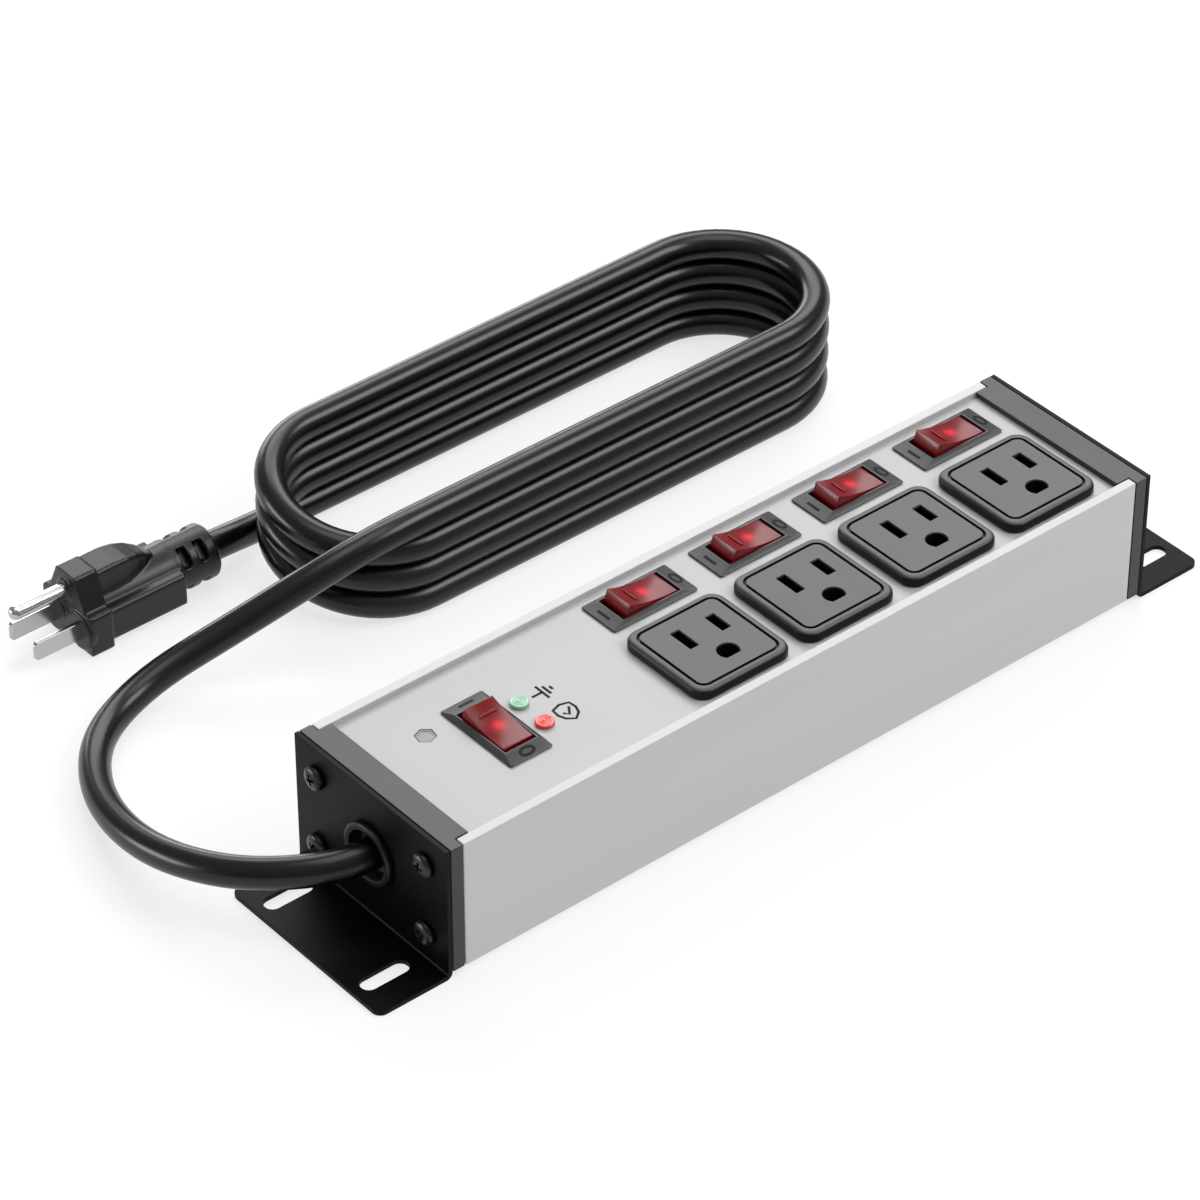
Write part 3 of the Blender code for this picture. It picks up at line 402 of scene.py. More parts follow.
def loft(name, rings, material, closed=False, sharp=35.0):
    """Skin rings of equally many points, capped unless the rings close on themselves."""
    shape = bmesh.new()
    rows = [[shape.verts.new(point) for point in ring] for ring in rings]
    pairs = list(zip(rows, rows[1:]))
    if closed:
        pairs.append((rows[-1], rows[0]))
    for low, high in pairs:
        for i in range(len(low)):
            j = (i + 1) % len(low)
            shape.faces.new((low[i], low[j], high[j], high[i]))
    if not closed:
        shape.faces.new(list(reversed(rows[0])))
        shape.faces.new(rows[-1])
    return finish_piece(name, shape, material, sharp)


def arc(centre, radius, start, end, steps):
    """Points round a centre, from one angle to another in degrees."""
    points = []
    for step in range(steps + 1):
        angle = math.radians(start + (end - start) * step / steps)
        points.append((centre[0] + radius * math.cos(angle), centre[1] + radius * math.sin(angle)))
    return points


def rounded_rect(half_x, half_y, radius, steps=8, centre=(0.0, 0.0)):
    """Rectangle with round corners, anticlockwise from the middle of its right side."""
    points = []
    for quarter, (side_x, side_y) in enumerate(((1, 1), (-1, 1), (-1, -1), (1, -1))):
        corner = (centre[0] + side_x * (half_x - radius), centre[1] + side_y * (half_y - radius))
        points += arc(corner, radius, 90 * quarter, 90 * (quarter + 1), steps)
    return points


def level(points, z):
    """Flat (x, y) points, lifted to one height."""
    return [(x, y, z) for x, y in points]


def box(name, low, high, material):
    (x0, y0, z0), (x1, y1, z1) = low, high
    outline = [(x0, y0), (x1, y0), (x1, y1), (x0, y1)]
    return loft(name, [level(outline, z0), level(outline, z1)], material)


def turned(name, profile, axis, material, centre=(0.0, 0.0, 0.0), segments=64, closed=False, sharp=35.0):
    """Turn (radius, along) points round an X or Z axis through centre."""
    rings = []
    for radius, along in profile:
        ring = []
        for i in range(segments):
            angle = math.tau * i / segments
            u = radius * math.cos(angle)
            v = radius * math.sin(angle)
            offset = (along, u, v) if axis == "X" else (u, v, along)
            ring.append(tuple(c + o for c, o in zip(centre, offset)))
        rings.append(ring)
    return loft(name, rings, material, closed, sharp)


def apply_modifiers(piece):
    """Bake a piece's modifiers into its mesh."""
    bpy.context.view_layer.update()
    graph = bpy.context.evaluated_depsgraph_get()
    mesh = bpy.data.meshes.new_from_object(piece.evaluated_get(graph))
    old = piece.data
    piece.modifiers.clear()
    piece.data = mesh
    bpy.data.meshes.remove(old)


def copy_of(master, name, place, turn=(0.0, 0.0, 0.0)):
    """Another object with the master's mesh, at a place in mm."""
    piece = bpy.data.objects.new(name, master.data)
    piece.location = [value * MM for value in place]
    piece.rotation_euler = turn
    bpy.context.scene.collection.objects.link(piece)
    return piece


def combine(target, tool, operation="DIFFERENCE"):
    """Cut the tool out of the target, or join it on, and delete the tool."""
    modifier = target.modifiers.new("combine", "BOOLEAN")
    modifier.operation = operation
    modifier.solver = "EXACT"
    modifier.object = tool
    apply_modifiers(target)
    bpy.data.objects.remove(tool)


def smooth_shade(piece, angle=35.0):
    piece.data.shade_smooth()
    piece.data.set_sharp_from_angle(angle=math.radians(angle))


def add_bevel(piece, width, angle=35.0):
    bevel = piece.modifiers.new("round_edges", "BEVEL")
    bevel.width = width * MM
    bevel.segments = 3
    bevel.limit_method = "ANGLE"
    bevel.angle_limit = math.radians(angle)
    return bevel


def round_edges(piece, width):
    """Join a CAD node's loose faces, then soften its sharp edges."""
    weld = piece.modifiers.new("weld", "WELD")
    weld.merge_threshold = 0.01 * MM
    add_bevel(piece, width).harden_normals = True


def cad(node):
    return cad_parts[node]


def dress(node, material, edge=0.0):
    """Give a CAD node its finish and, where asked, softened edges."""
    piece = cad(node)
    piece.data.materials.clear()
    piece.data.materials.append(material)
    if edge:
        round_edges(piece, edge)


def stand_for(piece, node, body=BODY):
    """Show a finished piece in place of a CAD node."""
    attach(piece, body)
    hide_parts(node)


def node_centre(node):
    """Middle of a node's box, in mm."""
    low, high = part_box(node)
    return (Vector(low) + Vector(high)) / 2 / MM


# ---------------------------------------------------------------- the cord

CORD_STEP = 4.0               # between points on the free stretches, mm


def spline_points(route, step):
    """Evenly spaced points on a natural cubic spline through a route."""
    knots = np.array(route, dtype=float)
    chords = np.linalg.norm(np.diff(knots, axis=0), axis=1)
    along = np.concatenate(([0.0], np.cumsum(chords)))
    count = len(along)
    system = np.eye(count)
    right = np.zeros((count, 3))
    for i in range(1, count - 1):
        before = along[i] - along[i - 1]
        after = along[i + 1] - along[i]
        system[i, i - 1:i + 2] = (before, 2 * (before + after), after)
        right[i] = 6 * ((knots[i + 1] - knots[i]) / after - (knots[i] - knots[i - 1]) / before)
    bend = np.linalg.solve(system, right)
    points = []
    for place in np.linspace(0.0, along[-1], max(2, int(round(along[-1] / step))) + 1):
        i = min(count - 2, int(np.searchsorted(along, place, side="right")) - 1)
        span = along[i + 1] - along[i]
        first = (along[i + 1] - place) / span
        second = (place - along[i]) / span
        point = first * knots[i] + second * knots[i + 1]
        point += ((first ** 3 - first) * bend[i] + (second ** 3 - second) * bend[i + 1]) * span * span / 6
        points.append(tuple(point))
    return points


def half_turn(centre_x, start, z_start, z_end, steps=28):
    """Half a turn round one end of the hank, easing from one height to another."""
    radius = (HANK_FAR_Y - HANK_NEAR_Y) / 2
    middle = (HANK_FAR_Y + HANK_NEAR_Y) / 2
    points = []
    for step in range(steps + 1):
        share = step / steps
        angle = math.radians(start + 180 * share)
        z = z_start + (z_end - z_start) * (1 - math.cos(math.pi * share)) / 2
        points.append((centre_x + radius * math.cos(angle), middle + radius * math.sin(angle), z))
    return points


def straight(start, end, steps=8):
    low = Vector(start)
    high = Vector(end)
    return [tuple(low.lerp(high, step / steps)) for step in range(1, steps)]


def hank_points():
    """The wound part: level runs and right ends, sinking to the next turn at each left end."""
    points = []
    last = LEAD_ROUTE[-1]
    for number, height in enumerate(LEVELS):
        ends = [half_turn(HANK_RIGHT_X, -90, height, height)]
        if number + 1 < len(LEVELS):
            ends.append(half_turn(HANK_LEFT_X, 90, height, LEVELS[number + 1]))
        for turn in ends:
            points += straight(last, turn[0]) + turn
            last = turn[-1]
    return points + straight(last, TAIL_ROUTE[0])


def make_cord():
    lead = spline_points(LEAD_START + LEAD_ROUTE, CORD_STEP)
    tail = spline_points(TAIL_ROUTE + (TAIL_END,), CORD_STEP)
    points = lead + hank_points() + tail
    data = bpy.data.curves.new("power_cord", "CURVE")
    data.dimensions = "3D"
    data.bevel_depth = CORD_R * MM
    data.bevel_resolution = 10
    data.use_fill_caps = True
    spline = data.splines.new("POLY")
    spline.points.add(len(points) - 1)
    for slot, (x, y, z) in zip(spline.points, points):
        slot.co = (x * MM, y * MM, z * MM, 1.0)
    spline.use_smooth = True
    data.materials.append(cord_vinyl())
    cord = bpy.data.objects.new("power_cord", data)
    bpy.context.scene.collection.objects.link(cord)
    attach(cord, BODY)
    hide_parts("cord_lead", "cord_hank", "cord_tail")


# ---------------------------------------------------------------- the plug

PLUG_Y = 159.5
BLADE_Z = 7.5
PLUG_CORD_Z = 9.05
PLUG_FRONT = -127.3
PLUG_STEP = -119.2            # back of the deep front block
SHELL_FRONT = -120.0
SHELL_BACK = -91.0
BOSS_ROOT = -126.0
HUMP_FOOT = 1.0               # above the blades
HUMP_ROUNDING = 1.4
RELIEF_RADIUS = 9.0
RELIEF_END = -75.5
RELIEF_SLOTS = (-87.6, -81.4)
RELIEF_SLOT_HALF = 1.5
RELIEF_SLOT_SPIN = 24         # degrees to either side of a slot's middle
RELIEF_SLOT_DEPTHS = (6.4, 12.0)
PLUG_VOXEL = 0.4
PIN_TIP_RADIUS = 0.35
PIN_NOSE = 2.2
PIN_SEAM_HALF = 0.22
PIN_SEAM_DEPTH = 0.9


def plug_block(name, x0, x1, half_width, low, high, radius, material):
    """A block of the plug with its long edges rounded."""
    outline = rounded_rect(half_width, (high - low) / 2, radius, 5, (PLUG_Y, BLADE_Z + (low + high) / 2))
    return loft(name, [[(x, y, z) for y, z in outline] for x in (x0, x1)], material)


def plug_hump(stations, material):
    """The ridge over the ground pin, from (x, half width at top, half width at foot, height)."""
    rings = []
    for x, top, foot, height in stations:
        corner = min(HUMP_ROUNDING, top * 0.4)
        low = BLADE_Z + HUMP_FOOT
        high = BLADE_Z + height - corner
        outline = [(PLUG_Y - foot, low), (PLUG_Y + foot, low)]
        outline += arc((PLUG_Y + top - corner, high), corner, 0, 90, 6)
        outline += arc((PLUG_Y - top + corner, high), corner, 90, 180, 6)
        rings.append([(x, y, z) for y, z in outline])
    return loft("hump", rings, material)


def plug_boss(radius, chamfer, front, y, z, material):
    """Short round boss on the plug's face, where a blade or the pin comes out."""
    profile = ((radius - chamfer, front), (radius, front + chamfer), (radius, BOSS_ROOT))
    return turned("boss", profile, "X", material, (0.0, y, z))


def relief_slot(x, quarter, material):
    """Cutter for one of the four slots round the strain relief at x."""
    turn = Matrix.Rotation(math.radians(45 + 90 * quarter), 3, "X")
    spin = math.radians(RELIEF_SLOT_SPIN)
    inner, outer = RELIEF_SLOT_DEPTHS
    rings = []
    for side_x in (x - RELIEF_SLOT_HALF, x + RELIEF_SLOT_HALF):
        ring = []
        for radius, angle in ((inner, -spin), (inner, spin), (outer, spin), (outer, -spin)):
            point = turn @ Vector((0.0, radius * math.sin(angle), radius * math.cos(angle)))
            ring.append((side_x, PLUG_Y + point.y, PLUG_CORD_Z + point.z))
        rings.append(ring)
    return loft("slot", rings, material)


def soften_plug(body):
    """Give the joined blocks one even skin with soft edges."""
    remesh = body.modifiers.new("even_mesh", "REMESH")
    remesh.mode = "VOXEL"
    remesh.voxel_size = PLUG_VOXEL * MM
    soften = body.modifiers.new("soften", "SMOOTH")
    soften.iterations = 3
    soften.factor = 0.5
    apply_modifiers(body)
    body.data.shade_smooth()


def make_plug():
    material = plug_vinyl()
    body = plug_block("plug_moulding", PLUG_FRONT, PLUG_STEP, 12.6, -7.3, 7.2, 1.2, material)
    front_hump = [(x, 5.2, 12.4, 17.9) for x in (PLUG_FRONT, PLUG_STEP)]
    combine(body, plug_hump(front_hump, material), "UNION")
    combine(body, plug_block("shell", SHELL_FRONT, SHELL_BACK, 11.4, -5.8, 5.9, 1.6, material), "UNION")
    back_hump = ((SHELL_FRONT, 5.6, 6.0, 17.0), (-112.0, 5.6, 6.0, 17.1), (-107.5, 5.3, 5.7, 16.7),
                 (-103.5, 4.6, 4.9, 15.6), (-100.0, 3.5, 3.8, 13.8), (-96.5, 1.8, 2.0, 11.0))
    combine(body, plug_hump(back_hump, material), "UNION")
    for side in (-1, 1):
        y = PLUG_Y + side * BLADE_HALF_SPACING
        combine(body, plug_boss(6.6, 0.4, -128.2, y, BLADE_Z, material), "UNION")
    combine(body, plug_boss(3.5, 0.3, -128.3, PLUG_Y, BLADE_Z + GROUND_BELOW, material), "UNION")
    core = ((RELIEF_RADIUS - 0.1, SHELL_FRONT), (RELIEF_RADIUS - 0.1, SHELL_BACK - 0.5),
            (RELIEF_RADIUS, SHELL_BACK + 0.5), (RELIEF_RADIUS, RELIEF_END - 0.9),
            (RELIEF_RADIUS - 0.9, RELIEF_END))
    combine(body, turned("core", core, "X", material, (0.0, PLUG_Y, PLUG_CORD_Z)), "UNION")
    for x in RELIEF_SLOTS:
        for quarter in range(4):
            combine(body, relief_slot(x, quarter, material))
    soften_plug(body)
    stand_for(body, "plug_body")
    return body


def make_pins():
    """Folded ground pin with a rounded nose, and the two flat blades."""
    low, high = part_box("plug_ground_pin")
    tip = low[0] / MM
    root = high[0] / MM
    radius = (high[1] - low[1]) / 2 / MM
    middle = node_centre("plug_ground_pin")
    profile = []
    for step in range(9):
        angle = math.radians(90 * step / 8)
        profile.append((PIN_TIP_RADIUS + (radius - PIN_TIP_RADIUS) * math.sin(angle),
                        tip + PIN_NOSE * (1 - math.cos(angle))))
    profile.append((radius, root))
    pin = turned("ground_pin_shell", profile, "X", nickel(), (0.0, middle.y, middle.z), 48)
    under = middle.z - radius
    combine(pin, box("seam", (tip + 2.5, middle.y - PIN_SEAM_HALF, under - 1),
                     (root + 1, middle.y + PIN_SEAM_HALF, under + PIN_SEAM_DEPTH), nickel()))
    smooth_shade(pin)
    stand_for(pin, "plug_ground_pin")
    for node in ("plug_neutral_blade", "plug_live_blade"):
        dress(node, nickel(), 0.18)
    return pin


# ---------------------------------------------------------------- outlets

FACE_FILLET = 1.6
FACE_UNDER_EDGE = 0.25
NECK_CORNER = 2.2
GROOVE_HALVES = (15.6, 14.6)
GROOVE_DEPTH = 1.4
GROOVE_STRAIGHT = 12.1                  # half length of its straight sides
SLOT_HALF_WIDTH = 1.45
SLOT_LENGTHS = ((-1, 8.8), (1, 7.6))    # the neutral slot is the longer one
GROUND_RADIUS = 3.3
GROUND_FLAT = 2.3                       # its flat side, below its middle
MOUTH = 0.3                             # how much wider each opening is at the surface
MOUTH_DEPTH = 0.35
CUT_PAST = 1.0                          # cutters run past the piece by this much


def face_outline(half, corner, z):
    return level(rounded_rect(half, half, corner, 8, FACE_SHIFT), z)


def face_blank(material):
    """The raised cover and its neck, with a rounded rim."""
    rings = [face_outline(NECK_HALF, NECK_CORNER, NECK_BOTTOM),
             face_outline(NECK_HALF, NECK_CORNER, FACE_UNDER),
             face_outline(FACE_HALF - FACE_UNDER_EDGE, FACE_CORNER - FACE_UNDER_EDGE, FACE_UNDER),
             face_outline(FACE_HALF, FACE_CORNER, FACE_UNDER + FACE_UNDER_EDGE)]
    for step in range(9):
        angle = math.radians(90 * step / 8)
        inset = FACE_FILLET * (1 - math.cos(angle))
        z = FACE_TOP - FACE_FILLET + FACE_FILLET * math.sin(angle)
        rings.append(face_outline(FACE_HALF - inset, FACE_CORNER - inset, z))
    return loft("outlet_cover", rings, material, sharp=40)


def groove_cutter(material):
    outer, inner = GROOVE_HALVES
    bottom = FACE_TOP - GROOVE_DEPTH
    above = FACE_TOP + CUT_PAST
    rings = [face_outline(half, half - GROOVE_STRAIGHT, z)
             for half, z in ((outer, bottom), (outer, above), (inner, above), (inner, bottom))]
    return loft("groove", rings, material, closed=True)


def blade_cutter(side, length, material):
    """Cutter for a blade slot with a flared mouth."""
    middle = (side * BLADE_HALF_SPACING, 0.0)
    slot = rounded_rect(SLOT_HALF_WIDTH, length / 2, 0.15, 3, middle)
    mouth = rounded_rect(SLOT_HALF_WIDTH + MOUTH, length / 2 + MOUTH, 0.3, 3, middle)
    return loft("slot", [level(slot, NECK_BOTTOM - CUT_PAST), level(slot, FACE_TOP - MOUTH_DEPTH),
                         level(mouth, FACE_TOP + 0.01), level(mouth, FACE_TOP + CUT_PAST)], material)


def ground_cutter(material):
    """Cutter for the ground hole: a circle with a flat side and a flared mouth."""
    rings = []
    for flare, z in ((0.0, NECK_BOTTOM - CUT_PAST), (0.0, FACE_TOP - MOUTH_DEPTH),
                     (MOUTH, FACE_TOP + 0.01), (MOUTH, FACE_TOP + CUT_PAST)):
        radius = GROUND_RADIUS + flare
        start = math.degrees(math.asin(-(GROUND_FLAT + flare) / radius))
        rings.append(level(arc((0.0, -GROUND_BELOW), radius, start, 180 - start, 32), z))
    return loft("ground", rings, material)


def face_slab(material):
    """Raised cover with a groove, two blade slots and a ground hole."""
    face = face_blank(material)
    combine(face, groove_cutter(material))
    for side, length in SLOT_LENGTHS:
        combine(face, blade_cutter(side, length, material))
    combine(face, ground_cutter(material))
    smooth_shade(face, 30)
    return face


def make_outlets():
    master = face_slab(outlet_plastic_painted_top_sheen())
    for number in range(1, OUTLET_COUNT + 1):
        middle = node_centre(f"outlet_face_{number}")
        cover = copy_of(master, f"outlet_cover_{number}", (middle.x - FACE_SHIFT[0], BLADE_LINE_Y, 0.0))
        stand_for(cover, f"outlet_face_{number}")
        dress(f"outlet_back_{number}", dark_void())
        dress(f"hot_contact_{number}", brass())
    bpy.data.objects.remove(master)
    for node in ("neutral_bus", "ground_bus", "live_bus"):
        dress(node, brass())


# ---------------------------------------------------------------- printed marks

INK_DEPTH = 0.06


def ribbon(points, width, z, closed):
    """Thin raised line through (x, y) points, as a closed strip of ink."""
    shape = bmesh.new()
    count = len(points)
    sections = []
    for i, (x, y) in enumerate(points):
        if closed:
            before = points[i - 1]
            after = points[(i + 1) % count]
        else:
            before = points[max(i - 1, 0)]
            after = points[min(i + 1, count - 1)]
        direction = Vector((after[0] - before[0], after[1] - before[1])).normalized()
        side = Vector((-direction.y, direction.x)) * width / 2
        sections.append([shape.verts.new((x + sign * side.x, y + sign * side.y, height))
                         for sign, height in ((1, z), (-1, z), (-1, z - INK_DEPTH), (1, z - INK_DEPTH))])
    last = count if closed else count - 1
    for i in range(last):
        a = sections[i]
        b = sections[(i + 1) % count]
        for corner in range(4):
            following = (corner + 1) % 4
            shape.faces.new((a[corner], a[following], b[following], b[corner]))
    if not closed:
        shape.faces.new(sections[0])
        shape.faces.new(sections[-1])
    return shape


def printed(name, lines, width, z, material):
    """Printed lines as one thin object, from (points, closed) pairs."""
    total = bmesh.new()
    for points, closed in lines:
        part = ribbon(points, width, z, closed)
        scratch = bpy.data.meshes.new("stroke")
        part.to_mesh(scratch)
        part.free()
        total.from_mesh(scratch)
        bpy.data.meshes.remove(scratch)
    return finish_piece(name, total, material)


# ---------------------------------------------------------------- switches

BEZEL_EDGE = 45.12
BEZEL_SLOPE_RUN = 4.3
MARK_PLACE = (13.7, 45.55)              # y and z of the middle of a mark
MARK_RING = (2.3, 1.35)
MARK_BAR_HALF = 2.6
MARK_WIDTH = 0.95
ROCKER_HALF_WIDTH = 5.25
ROCKER_TIP_Y = 9.1
ROCKER_TIP_Z = 4.85
ROCKER_SAG = 0.85                       # how far the hollow top dips below its two tips
BAR_PLACE = (0.0, 4.6, 4.2)
BAR_TILT = math.radians(5.4)
PIVOT_HOLE = 1.3
PIVOT_PIN = 1.0
LAMP_FROM_ROCKER = (0.0, -0.3, 4.2)     # middle of the glow, in the rocker's frame
LAMP_FROM_BAR = (0.0, -4.0, 0.0)        # middle of the glow in the bar, in the bar's frame


def bezel_shell(material):
    """Case and sloped bezel with small radii, in the switch's own frame."""
    profile = (                         # half width, half length, corner radius, z
        (6.9, 13.6, 0.6, 28.0), (6.9, 13.6, 0.6, 44.7),
        (7.55, 15.9, 0.6, 44.7), (7.65, 16.0, 0.7, 44.8), (7.65, 16.0, 0.7, 45.0),
        (7.5, 15.85, 0.55, BEZEL_EDGE),
        (6.15, 11.55, 0.2, BEZEL_RIM - 0.03), (6.05, 11.45, 0.15, BEZEL_RIM),
        (5.7, 11.1, 0.15, BEZEL_RIM), (5.6, 11.0, 0.12, BEZEL_RIM - 0.1), (5.6, 11.0, 0.12, 39.2))
    rings = [level(rounded_rect(half_x, half_y, radius, 5), z) for half_x, half_y, radius, z in profile]
    case = loft("bezel", rings, material, sharp=14)
    combine(case, turned("pivot", ((PIVOT_HOLE, -8.0), (PIVOT_HOLE, 8.0)), "X", material,
                         (0, 0, ROCKER_AXIS_Z), 32))
    smooth_shade(case, 14)
    return case


def rocker_shell(material):
    """Rocker with a hollow top, in its own frame before it is tipped."""
    radius = (ROCKER_TIP_Y ** 2 + ROCKER_SAG ** 2) / (2 * ROCKER_SAG)
    reach = math.degrees(math.asin(ROCKER_TIP_Y / radius))
    hollow = arc((0.0, ROCKER_TIP_Z - ROCKER_SAG + radius), radius, -90 - reach, -90 + reach, 24)
    outline = [(-8.0, -1.5), (-9.6, 1.0)] + hollow + [(9.6, 1.0), (8.0, -1.5)]
    rings = [[(x, y, z) for y, z in outline] for x in (-ROCKER_HALF_WIDTH, ROCKER_HALF_WIDTH)]
    rocker = loft("rocker", rings, material)
    pins = turned("pins", ((PIVOT_PIN, -6.3), (PIVOT_PIN, 6.3)), "X", material, segments=32)
    combine(rocker, pins, "UNION")
    add_bevel(rocker, 0.28, 40)
    apply_modifiers(rocker)
    smooth_shade(rocker, 30)
    return rocker


def rocker_bar(material):
    """Raised bar across the high end of a rocker."""
    outline = rounded_rect(3.15, 0.42, 0.41, 5)
    rings = [[(x * shrink, y * shrink, z) for x, y in outline]
             for shrink, z in ((1.0, -0.4), (1.0, 0.25), (0.9, 0.42), (0.6, 0.48))]
    return loft("bar", rings, material)


def end_marks(label, case):
    """A bar at the on end and a ring at the off end, lying on the bezel's end slopes."""
    turns = [math.tau * step / 28 for step in range(28)]
    ring = [(MARK_RING[0] * math.cos(turn), MARK_RING[1] * math.sin(turn)) for turn in turns]
    bar = [(-MARK_BAR_HALF, 0.0), (MARK_BAR_HALF, 0.0)]
    slope = math.atan2(BEZEL_RIM - BEZEL_EDGE, BEZEL_SLOPE_RUN)
    for kind, side, lines in (("on", 1, [(bar, False)]), ("off", -1, [(ring, True)])):
        mark = printed(f"{label}_{kind}_mark", lines, MARK_WIDTH, INK_DEPTH, legend_ink())
        mark.parent = case
        mark.location = (0.0, side * MARK_PLACE[0] * MM, MARK_PLACE[1] * MM)
        mark.rotation_euler = (-side * slope, 0.0, 0.0)
        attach(mark, BODY)


def make_rocker(label, middle, heading):
    """A rocker tipped to its on position, with its raised bar."""
    body = f"{label}_switch"
    rocker = rocker_shell(rocker_plastic(f"{label}_rocker_plastic", LAMP_FROM_ROCKER))
    rocker.name = f"{label}_rocker_cap"
    rocker.location = (middle.x * MM, middle.y * MM, ROCKER_AXIS_Z * MM)
    rocker.rotation_euler = (ROCKER_TILT, 0.0, heading)
    stand_for(rocker, f"{label}_rocker", body)
    bar = rocker_bar(rocker_plastic(f"{label}_bar_plastic", LAMP_FROM_BAR))
    bar.name = f"{label}_rocker_bar"
    bar.parent = rocker
    bar.location = [value * MM for value in BAR_PLACE]
    bar.rotation_euler = (BAR_TILT, 0.0, 0.0)
    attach(bar, body)


def make_switches():
    master = bezel_shell(bezel_plastic())
    labels = ["main"] + [f"outlet_{number}" for number in range(1, OUTLET_COUNT + 1)]
    for label in labels:
        heading = 0.0 if label == "main" else math.radians(90)
        middle = node_centre(f"{label}_switch_case")
        case = copy_of(master, f"{label}_bezel", (middle.x, middle.y, 0.0), (0.0, 0.0, heading))
        stand_for(case, f"{label}_switch_case")
        end_marks(label, case)
        make_rocker(label, middle, heading)
    bpy.data.objects.remove(master)


# ---------------------------------------------------------------- trim

GLAND_OUTER = 137.4
GLAND_RADIUS = 10.3
GLAND_ROUNDING = 0.6
SHANK_RADIUS = 1.6
SCREW_RADIUS = 3.9
SCREW_EDGE = 0.7                        # height of the head's straight side
SCREW_DOME = 1.55
LENS_RADIUS = 2.88
LENS_STEM = 2.2
LENS_EDGE = 45.35
LENS_TOP = 45.7
LENS_RIPPLES = (2.0, 1.4, 0.8)
SYMBOL_SIZE = 1.35
SYMBOL_WIDTH = 0.85
RAIL_LIP_WIDTH = 0.6
RAIL_LIP_HEIGHT = 0.5
RAIL_LIP_SHORT = 0.4                    # how far each lip stops before the channel's ends


def make_gland():
    """Rubber ring in the end face, with a rounded flange and a tapered mouth."""
    edge = GLAND_OUTER - GLAND_ROUNDING
    profile = [(5.2, 127.9), (8.9, 127.9), (8.9, 135.8), (GLAND_RADIUS - 0.2, 135.8), (GLAND_RADIUS, 136.0)]
    profile += arc((GLAND_RADIUS - GLAND_ROUNDING, edge), GLAND_ROUNDING, 0, 90, 5)
    profile += [(8.5, GLAND_OUTER), (8.1, GLAND_OUTER - 0.15), (7.8, edge)]
    profile += [(7.5, 134.4), (6.9, 133.6), (5.3, 133.2)]
    mirrored = [(radius, -along) for radius, along in profile]
    gland = turned("gland_ring", mirrored, "X", gland_rubber(), (0.0, 0.0, CORD_Z), 72, closed=True)
    stand_for(gland, "cord_gland")


def screw_recess(turn, material):
    """Cutter for one of the two tapered slots that make the cross."""
    rings = []
    for x, half_y, half_z in ((0.9, 0.8, 0.28), (2.4, 2.1, 0.5), (3.2, 2.3, 0.55)):
        corners = ((-half_y, -half_z), (half_y, -half_z), (half_y, half_z), (-half_y, half_z))
        rings.append([tuple(turn @ Vector((x, y, z))) for y, z in corners])
    return loft("recess", rings, material)


def screw_head(material):
    """Pan head with a cross recess on a plain shank, pointing along +X."""
    profile = [(SHANK_RADIUS, -12.0), (SHANK_RADIUS, 0.0),
               (SCREW_RADIUS - 0.15, 0.0), (SCREW_RADIUS, 0.15), (SCREW_RADIUS, SCREW_EDGE)]
    for step in range(1, 9):
        angle = math.radians(80 * step / 8)
        profile.append((SCREW_RADIUS * math.cos(angle) ** 0.8, SCREW_EDGE + SCREW_DOME * math.sin(angle)))
    head = turned("screw", profile, "X", material, segments=48)
    for degrees in (0, 90):
        combine(head, screw_recess(Matrix.Rotation(math.radians(degrees), 3, "X"), material))
    smooth_shade(head, 30)
    return head


def make_screws():
    """Eight screws, each turned a little differently, as screws are left by hand."""
    master = screw_head(screw_steel())
    for end, side in (("cord_end", -1), ("far_end", 1)):
        for number in range(1, 5):
            middle = node_centre(f"{end}_screw_{number}")
            turn = (math.radians(17 + 23 * number), 0.0, math.pi if side < 0 else 0.0)
            place = (side * (SHEET_OUTER + 0.3), middle.y, middle.z)
            screw = copy_of(master, f"{end}_pan_screw_{number}", place, turn)
            stand_for(screw, f"{end}_screw_{number}")
    bpy.data.objects.remove(master)


def make_lamp(node, material):
    """Lens with a rounded edge and three moulded ripples."""
    middle = node_centre(node)
    profile = [(LENS_STEM, 40.6), (LENS_STEM, 44.7), (LENS_RADIUS, 44.7), (LENS_RADIUS, LENS_EDGE)]
    for step in range(1, 7):
        angle = math.radians(90 * step / 6)
        profile.append((LENS_RADIUS - 0.4 + 0.4 * math.cos(angle),
                        LENS_EDGE + (LENS_TOP - LENS_EDGE) * math.sin(angle)))
    for ring in LENS_RIPPLES:
        profile += [(ring + 0.12, LENS_TOP + 0.04), (ring, LENS_TOP - 0.04), (ring - 0.12, LENS_TOP + 0.08)]
    lens = turned(f"{node}_lens", profile, "Z", material, (middle.x, middle.y, 0.0), 56, sharp=60)
    stand_for(lens, node)


def make_lamps():
    make_lamp("ground_lamp", lens_plastic("ground_lamp_plastic", (0.03, 0.22, 0.1), (0.22, 0.42, 0.29),
                                          (0.15, 0.55, 0.28)))
    make_lamp("surge_lamp", lens_plastic("surge_lamp_plastic", (0.42, 0.01, 0.01), (0.56, 0.04, 0.035),
                                         (0.88, 0.045, 0.038)))


def placed(points, x, y):
    """Symbol points, scaled up and moved to their place on the panel."""
    return [(x + SYMBOL_SIZE * across, y + SYMBOL_SIZE * up) for across, up in points]


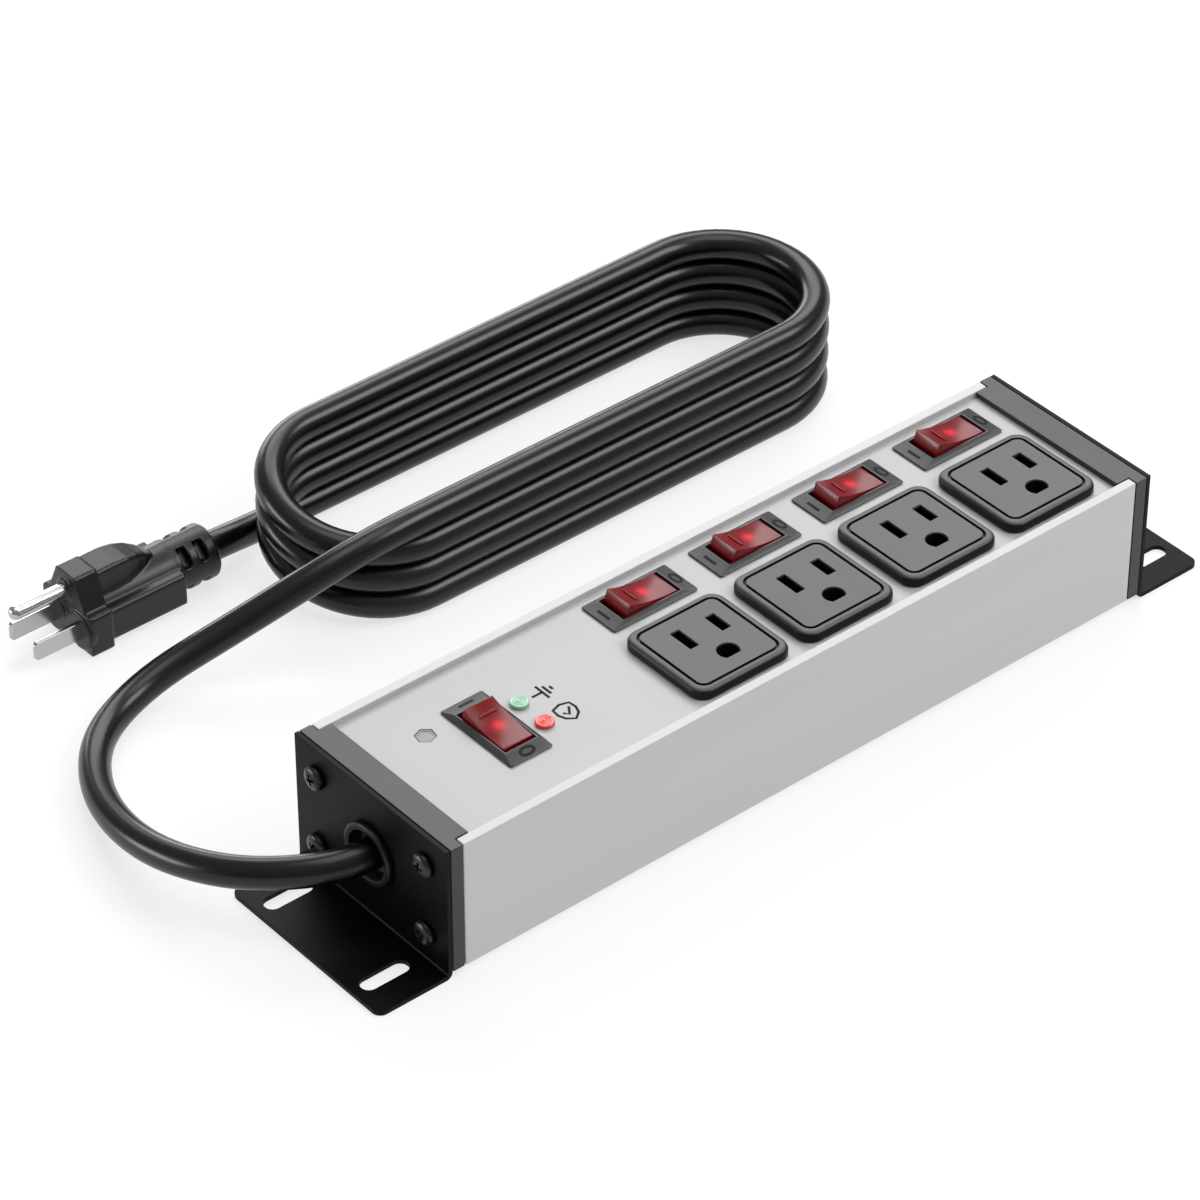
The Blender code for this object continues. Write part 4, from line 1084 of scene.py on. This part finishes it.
def make_legends():
    """Earth mark beside the green lamp and a ticked shield beside the red one."""
    green = node_centre("ground_lamp")
    red = node_centre("surge_lamp")
    lines = [(placed(((-2.6, 0.0), (0.2, 0.0)), green.x + 8.2, green.y), False)]
    for across, half in ((0.2, 2.4), (1.4, 1.5), (2.6, 0.6)):
        lines.append((placed(((across, -half), (across, half)), green.x + 8.2, green.y), False))
    shield = ((-2.4, 0.2), (-2.2, 2.2), (0.0, 2.9), (2.2, 2.2), (2.4, 0.2), (1.7, -1.6), (0.0, -2.9),
              (-1.7, -1.6))
    tick = ((-1.1, 0.2), (-0.2, -0.9), (1.3, 1.2))
    lines.append((placed(shield, red.x + 8.4, red.y), True))
    lines.append((placed(tick, red.x + 8.4, red.y), False))
    symbols = printed("panel_symbols", lines, SYMBOL_WIDTH, PANEL_TOP + 0.05, legend_ink())
    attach(symbols, BODY)


def make_hex_insert():
    """Six-sided plug with a slightly sunk middle."""
    middle = node_centre("hex_plug")
    corners = [math.radians(20 + 60 * corner) for corner in range(6)]
    rings = []
    for radius, z in ((3.1, 39.0), (3.1, 44.15), (2.9, 44.3), (2.5, 44.3), (2.35, 44.1)):
        rings.append([(middle.x + radius * math.cos(corner), middle.y + radius * math.sin(corner), z)
                      for corner in corners])
    insert = loft("hex_insert", rings, hex_steel(), sharp=20)
    stand_for(insert, "hex_plug")


def make_rail_lips():
    """Lips that close the joint between each top rail and the panel."""
    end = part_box("housing_channel")[1][0] / MM - RAIL_LIP_SHORT
    for name, side in (("near_rail_lip", -1), ("far_rail_lip", 1)):
        ys = sorted((side * RAIL_INNER, side * (RAIL_INNER + RAIL_LIP_WIDTH)))
        top = PANEL_TOP + RAIL_LIP_HEIGHT
        lip = box(name, (-end, ys[0], PANEL_TOP + 0.01), (end, ys[1], top), aluminium())
        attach(lip, BODY)


def dress_housing():
    dress("housing_channel", aluminium(), 0.35)
    dress("top_panel", panel_finish())
    for node in ("cord_end_cap", "far_end_cap"):
        dress(node, cap_plastic(), 0.3)
    for node in ("cord_end_bracket", "far_end_bracket"):
        dress(node, bracket_coat(), 0.2)


def dress_inside():
    dress("cord_clamp", cap_plastic(), 0.3)
    dress("surge_board", surface("board_laminate", (0.03, 0.2, 0.09), 0.4))
    for number in range(1, 4):
        dress(f"varistor_{number}", surface("varistor_epoxy", (0.04, 0.12, 0.45), 0.3))
    wires = {"live_lead": (0.012, 0.012, 0.012), "neutral_lead": (0.75, 0.75, 0.73),
             "ground_lead": (0.03, 0.3, 0.08), "switched_lead": (0.4, 0.02, 0.02)}
    for node, colour in wires.items():
        dress(node, surface(f"{node}_insulation", colour, 0.4))


make_camera()
make_studio()
plug = make_plug()
pin = make_pins()
make_cord()
make_outlets()
make_switches()
make_gland()
make_screws()
make_lamps()
make_hex_insert()
make_legends()
make_rail_lips()
dress_housing()
dress_inside()
